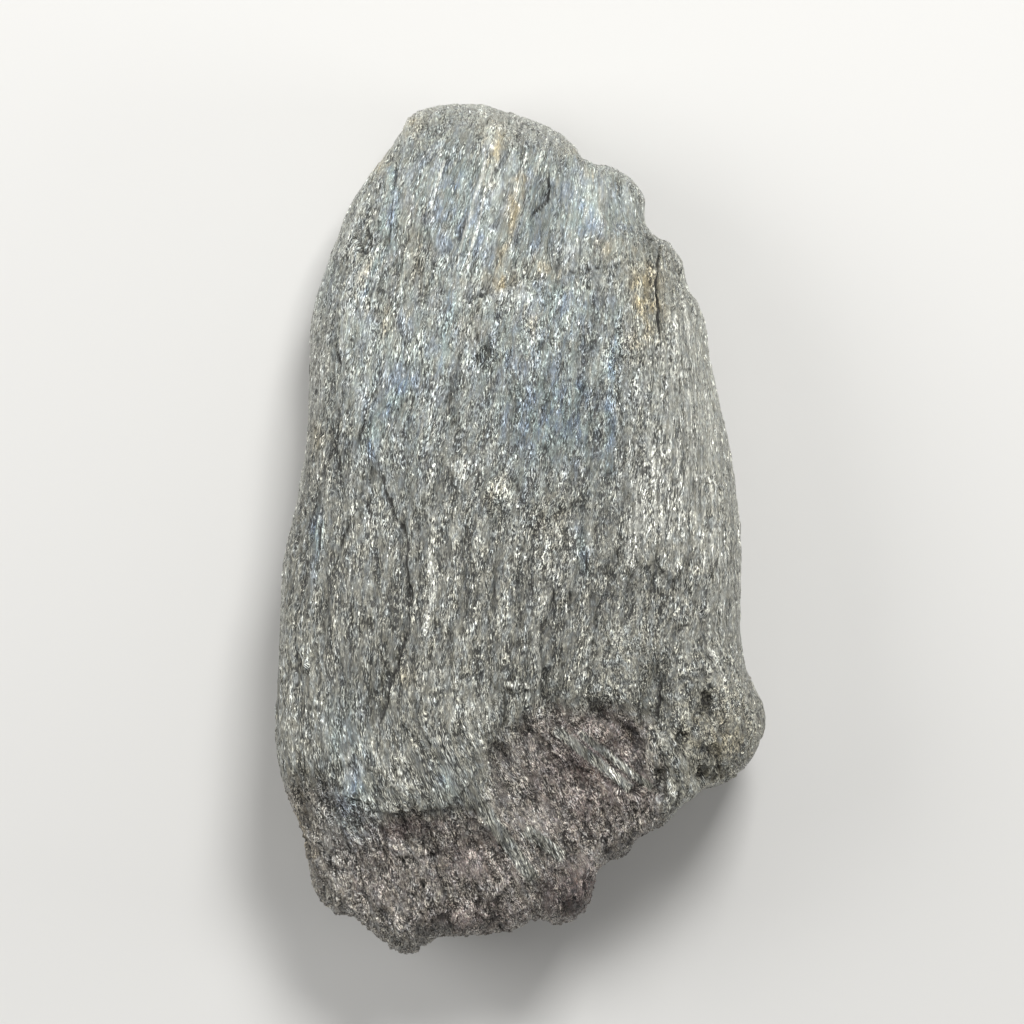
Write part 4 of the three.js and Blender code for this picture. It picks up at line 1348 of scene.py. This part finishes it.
def make_needles(name, surface, rng, picks, runs, length, width, tones, material):
    """Slim closed three-sided needles that lie on the stone."""
    count = len(picks)
    out = surface.normals[picks]
    runs = unit(runs - out * (runs * out).sum(-1, keepdims=True))
    stations = np.array(STATIONS)[:, None]
    line = surface.centres[picks][:, None] + runs[:, None] * stations * length[:, None, None]
    line, outs = surface.snap(line)
    lift = rng.uniform(*FIBRE_LIFT, (count, len(STATIONS), 1))
    line = line + outs * lift * np.array(STATION_LIFTS)[:, None]
    aside = np.cross(outs, runs[:, None])
    rings = []
    for station in (1, 2):
        for angle in (math.pi / 2, 7 * math.pi / 6, 11 * math.pi / 6):
            off = aside[:, station] * math.cos(angle) + outs[:, station] * math.sin(angle)
            rings.append(line[:, station] + off * width[:, None])
    points = np.stack([line[:, 0], *rings, line[:, 3]], 1)
    triangles = [(0, 2, 1), (0, 3, 2), (0, 1, 3), (7, 4, 5), (7, 5, 6), (7, 6, 4)]
    quads = [(1, 2, 5, 4), (2, 3, 6, 5), (3, 1, 4, 6)]
    sides = [(0.17, 0.33, 0), (0.5, 0.67, 0.33), (0.83, 1, 0.67)]
    start = [((0, mid), (0.3, high), (0.3, low)) for mid, high, low in sides]
    finish = [((1, mid), (0.7, low), (0.7, high)) for mid, high, low in sides]
    middle = [((0.3, low), (0.3, high), (0.7, high), (0.7, low)) for _, high, low in sides]
    at = surface.body.fibre[surface.owner[picks]] + rng.uniform(0, MARKING_SPREAD, (count, 2))
    along = np.repeat(STATIONS, (1, 3, 3, 1))
    across = np.array([0, 0, 1, -1, 0, 1, -1, 0])
    fibre = np.stack([at[:, :1] + width[:, None] * across, at[:, 1:] + length[:, None] * along], -1)
    corners, local = (triangles, quads), (start + finish, middle)
    make_small(name, surface, picks, points, corners, local, fibre, tones, material)


def turned_runs(surface, rng, picks, spread):
    """Directions of the fibres at some faces, turned a little at random and in patches."""
    out = surface.normals[picks]
    run = surface.body.runs[surface.owner[picks]]
    x, y, _ = surface.centres[picks].T
    loose = 1 + 2 * surface.ground.broken[surface.owner[picks]]
    turn = (rng.normal(0, spread, len(picks)) + PATCH_TURN * waves(x / 1.1, y / 1.6, TURN_SEED)) * loose
    return run * np.cos(turn)[:, None] + np.cross(out, run) * np.sin(turn)[:, None]


def make_fibres(surface, material):
    """Loose fibre ends on the stone."""
    rng = np.random.default_rng(FIBRE_SEED)
    ground = surface.ground
    picks = surface.pick(rng, FIBRES, (1 - 0.35 * ground.broken) * (1 - ground.crack) * (1 - ground.blade))
    runs = turned_runs(surface, rng, picks, FIBRE_TURN)
    length = rng.uniform(*FIBRE_LENGTHS, FIBRES) * (1 - 0.45 * ground.broken[surface.owner[picks]])
    width = rng.uniform(*FIBRE_HALF_WIDTHS, FIBRES)
    tones = 0.8 + 0.7 * rng.random(FIBRES) ** 1.6
    make_needles("loose_fibres", surface, rng, picks, runs, length, width, tones, material)


def make_grains(surface, material):
    """Cleaved grains that stand half out of the broken ground, each a small skewed block."""
    rng = np.random.default_rng(GRAIN_SEED)
    ground = surface.ground
    picks = surface.pick(rng, GRAINS, np.maximum(ground.broken - ground.blade, 0.5 * ground.knob))
    axes = unit(rng.normal(0, 1, (GRAINS, 3, 3)))
    axes[:, 1] = unit(np.cross(axes[:, 0], axes[:, 1]))
    axes[:, 2] = unit(np.cross(axes[:, 0], axes[:, 1]) + GRAIN_SKEW * axes[:, 0])
    sizes = rng.uniform(*GRAIN_SIZES, (GRAINS, 1, 1)) * rng.uniform(*GRAIN_SHAPES, (GRAINS, 3, 1))
    arms = axes * sizes
    signs = np.array([(a, b, c) for a in (-1, 1) for b in (-1, 1) for c in (-1, 1)])
    centre = surface.centres[picks] - surface.normals[picks] * GRAIN_SINK
    points = centre[:, None] + np.einsum("sk,nkx->nsx", signs, arms)
    quads = [(0, 1, 3, 2), (4, 6, 7, 5), (0, 4, 5, 1), (2, 3, 7, 6), (0, 2, 6, 4), (1, 5, 7, 3)]
    square = [(0, 0), (1, 0), (1, 1), (0, 1)]
    spots = [(u, v) for u in range(3) for v in range(2)]
    local = [[((u + 0.05 + 0.9 * a) / 3, (v + 0.05 + 0.9 * b) / 2) for a, b in square] for u, v in spots]
    at = rng.uniform(0, MARKING_SPREAD, (GRAINS, 1, 2))
    fibre = at + signs[None, :, :2] * 0.2 + signs[None, :, 2:] * 0.13
    tones = 0.7 + 0.8 * rng.random(GRAINS) ** 1.7
    make_small("broken_grains", surface, picks, points, (quads,), (local,), fibre, tones, material)


FLOOR_REACH = 1500.0
FLOOR_GREY = linear(205, 204, 201)
WORLD_STRENGTH = 0.32

# Lamps: name, place, target, size and power in watts
LAMPS = [
    ("key", (60, 160, 260), (0, 0, 12), 90, 0.85),
    ("fill", (-200, 40, 170), (0, 0, 10), 160, 0.35),
    ("rim", (230, -20, 90), (0, 0, 10), 100, 0.15),
]


def make_floor():
    size = FLOOR_REACH * MM
    mesh = bpy.data.meshes.new("floor")
    corners = [(-size, -size, 0), (size, -size, 0), (size, size, 0), (-size, size, 0)]
    mesh.from_pydata(corners, [], [(0, 1, 2, 3)])
    shader = Shader("floor")
    shader.put(shader.surface.inputs["Base Color"], FLOOR_GREY)
    shader.put(shader.surface.inputs["Roughness"], 0.8)
    mesh.materials.append(shader.material)
    add_object("floor", mesh)


def make_light(name, place, target, size, power):
    light = bpy.data.lights.new(name, "AREA")
    light.size = size * MM
    light.energy = power
    lamp = add_object(name, light)
    lamp.location = Vector(place) * MM
    lamp.rotation_euler = (Vector(target) - Vector(place)).to_track_quat("-Z", "Y").to_euler()


def make_world():
    world = bpy.data.worlds.new("studio")
    world.use_nodes = True
    sky = world.node_tree.nodes["Background"].inputs
    sky["Color"].default_value = (1, 1, 1, 1)
    sky["Strength"].default_value = WORLD_STRENGTH
    bpy.context.scene.world = world


def make_camera():
    """The camera looks straight down. The photo's frame is 76.8 mm wide at the height of the outline."""
    frame_width, frame_height = 76.8, 8.0
    middle = (-0.675, 1.05)
    distance = 350.0
    camera = add_object("camera", bpy.data.cameras.new("camera"))
    camera.data.sensor_width = 36.0
    camera.data.lens = camera.data.sensor_width * distance / frame_width
    camera.location = Vector((*middle, frame_height + distance)) * MM
    camera.data.clip_start = 10 * MM
    bpy.context.scene.camera = camera


alabandite = alabandite_material()
body = Body()
ground = Ground(body)
surface = Surface(make_body(body, ground, alabandite), body, ground)
make_fibres(surface, alabandite)
make_grains(surface, alabandite)
make_floor()
for lamp in LAMPS:
    make_light(*lamp)
make_world()
make_camera()
bpy.context.scene.view_settings.view_transform = "Standard"
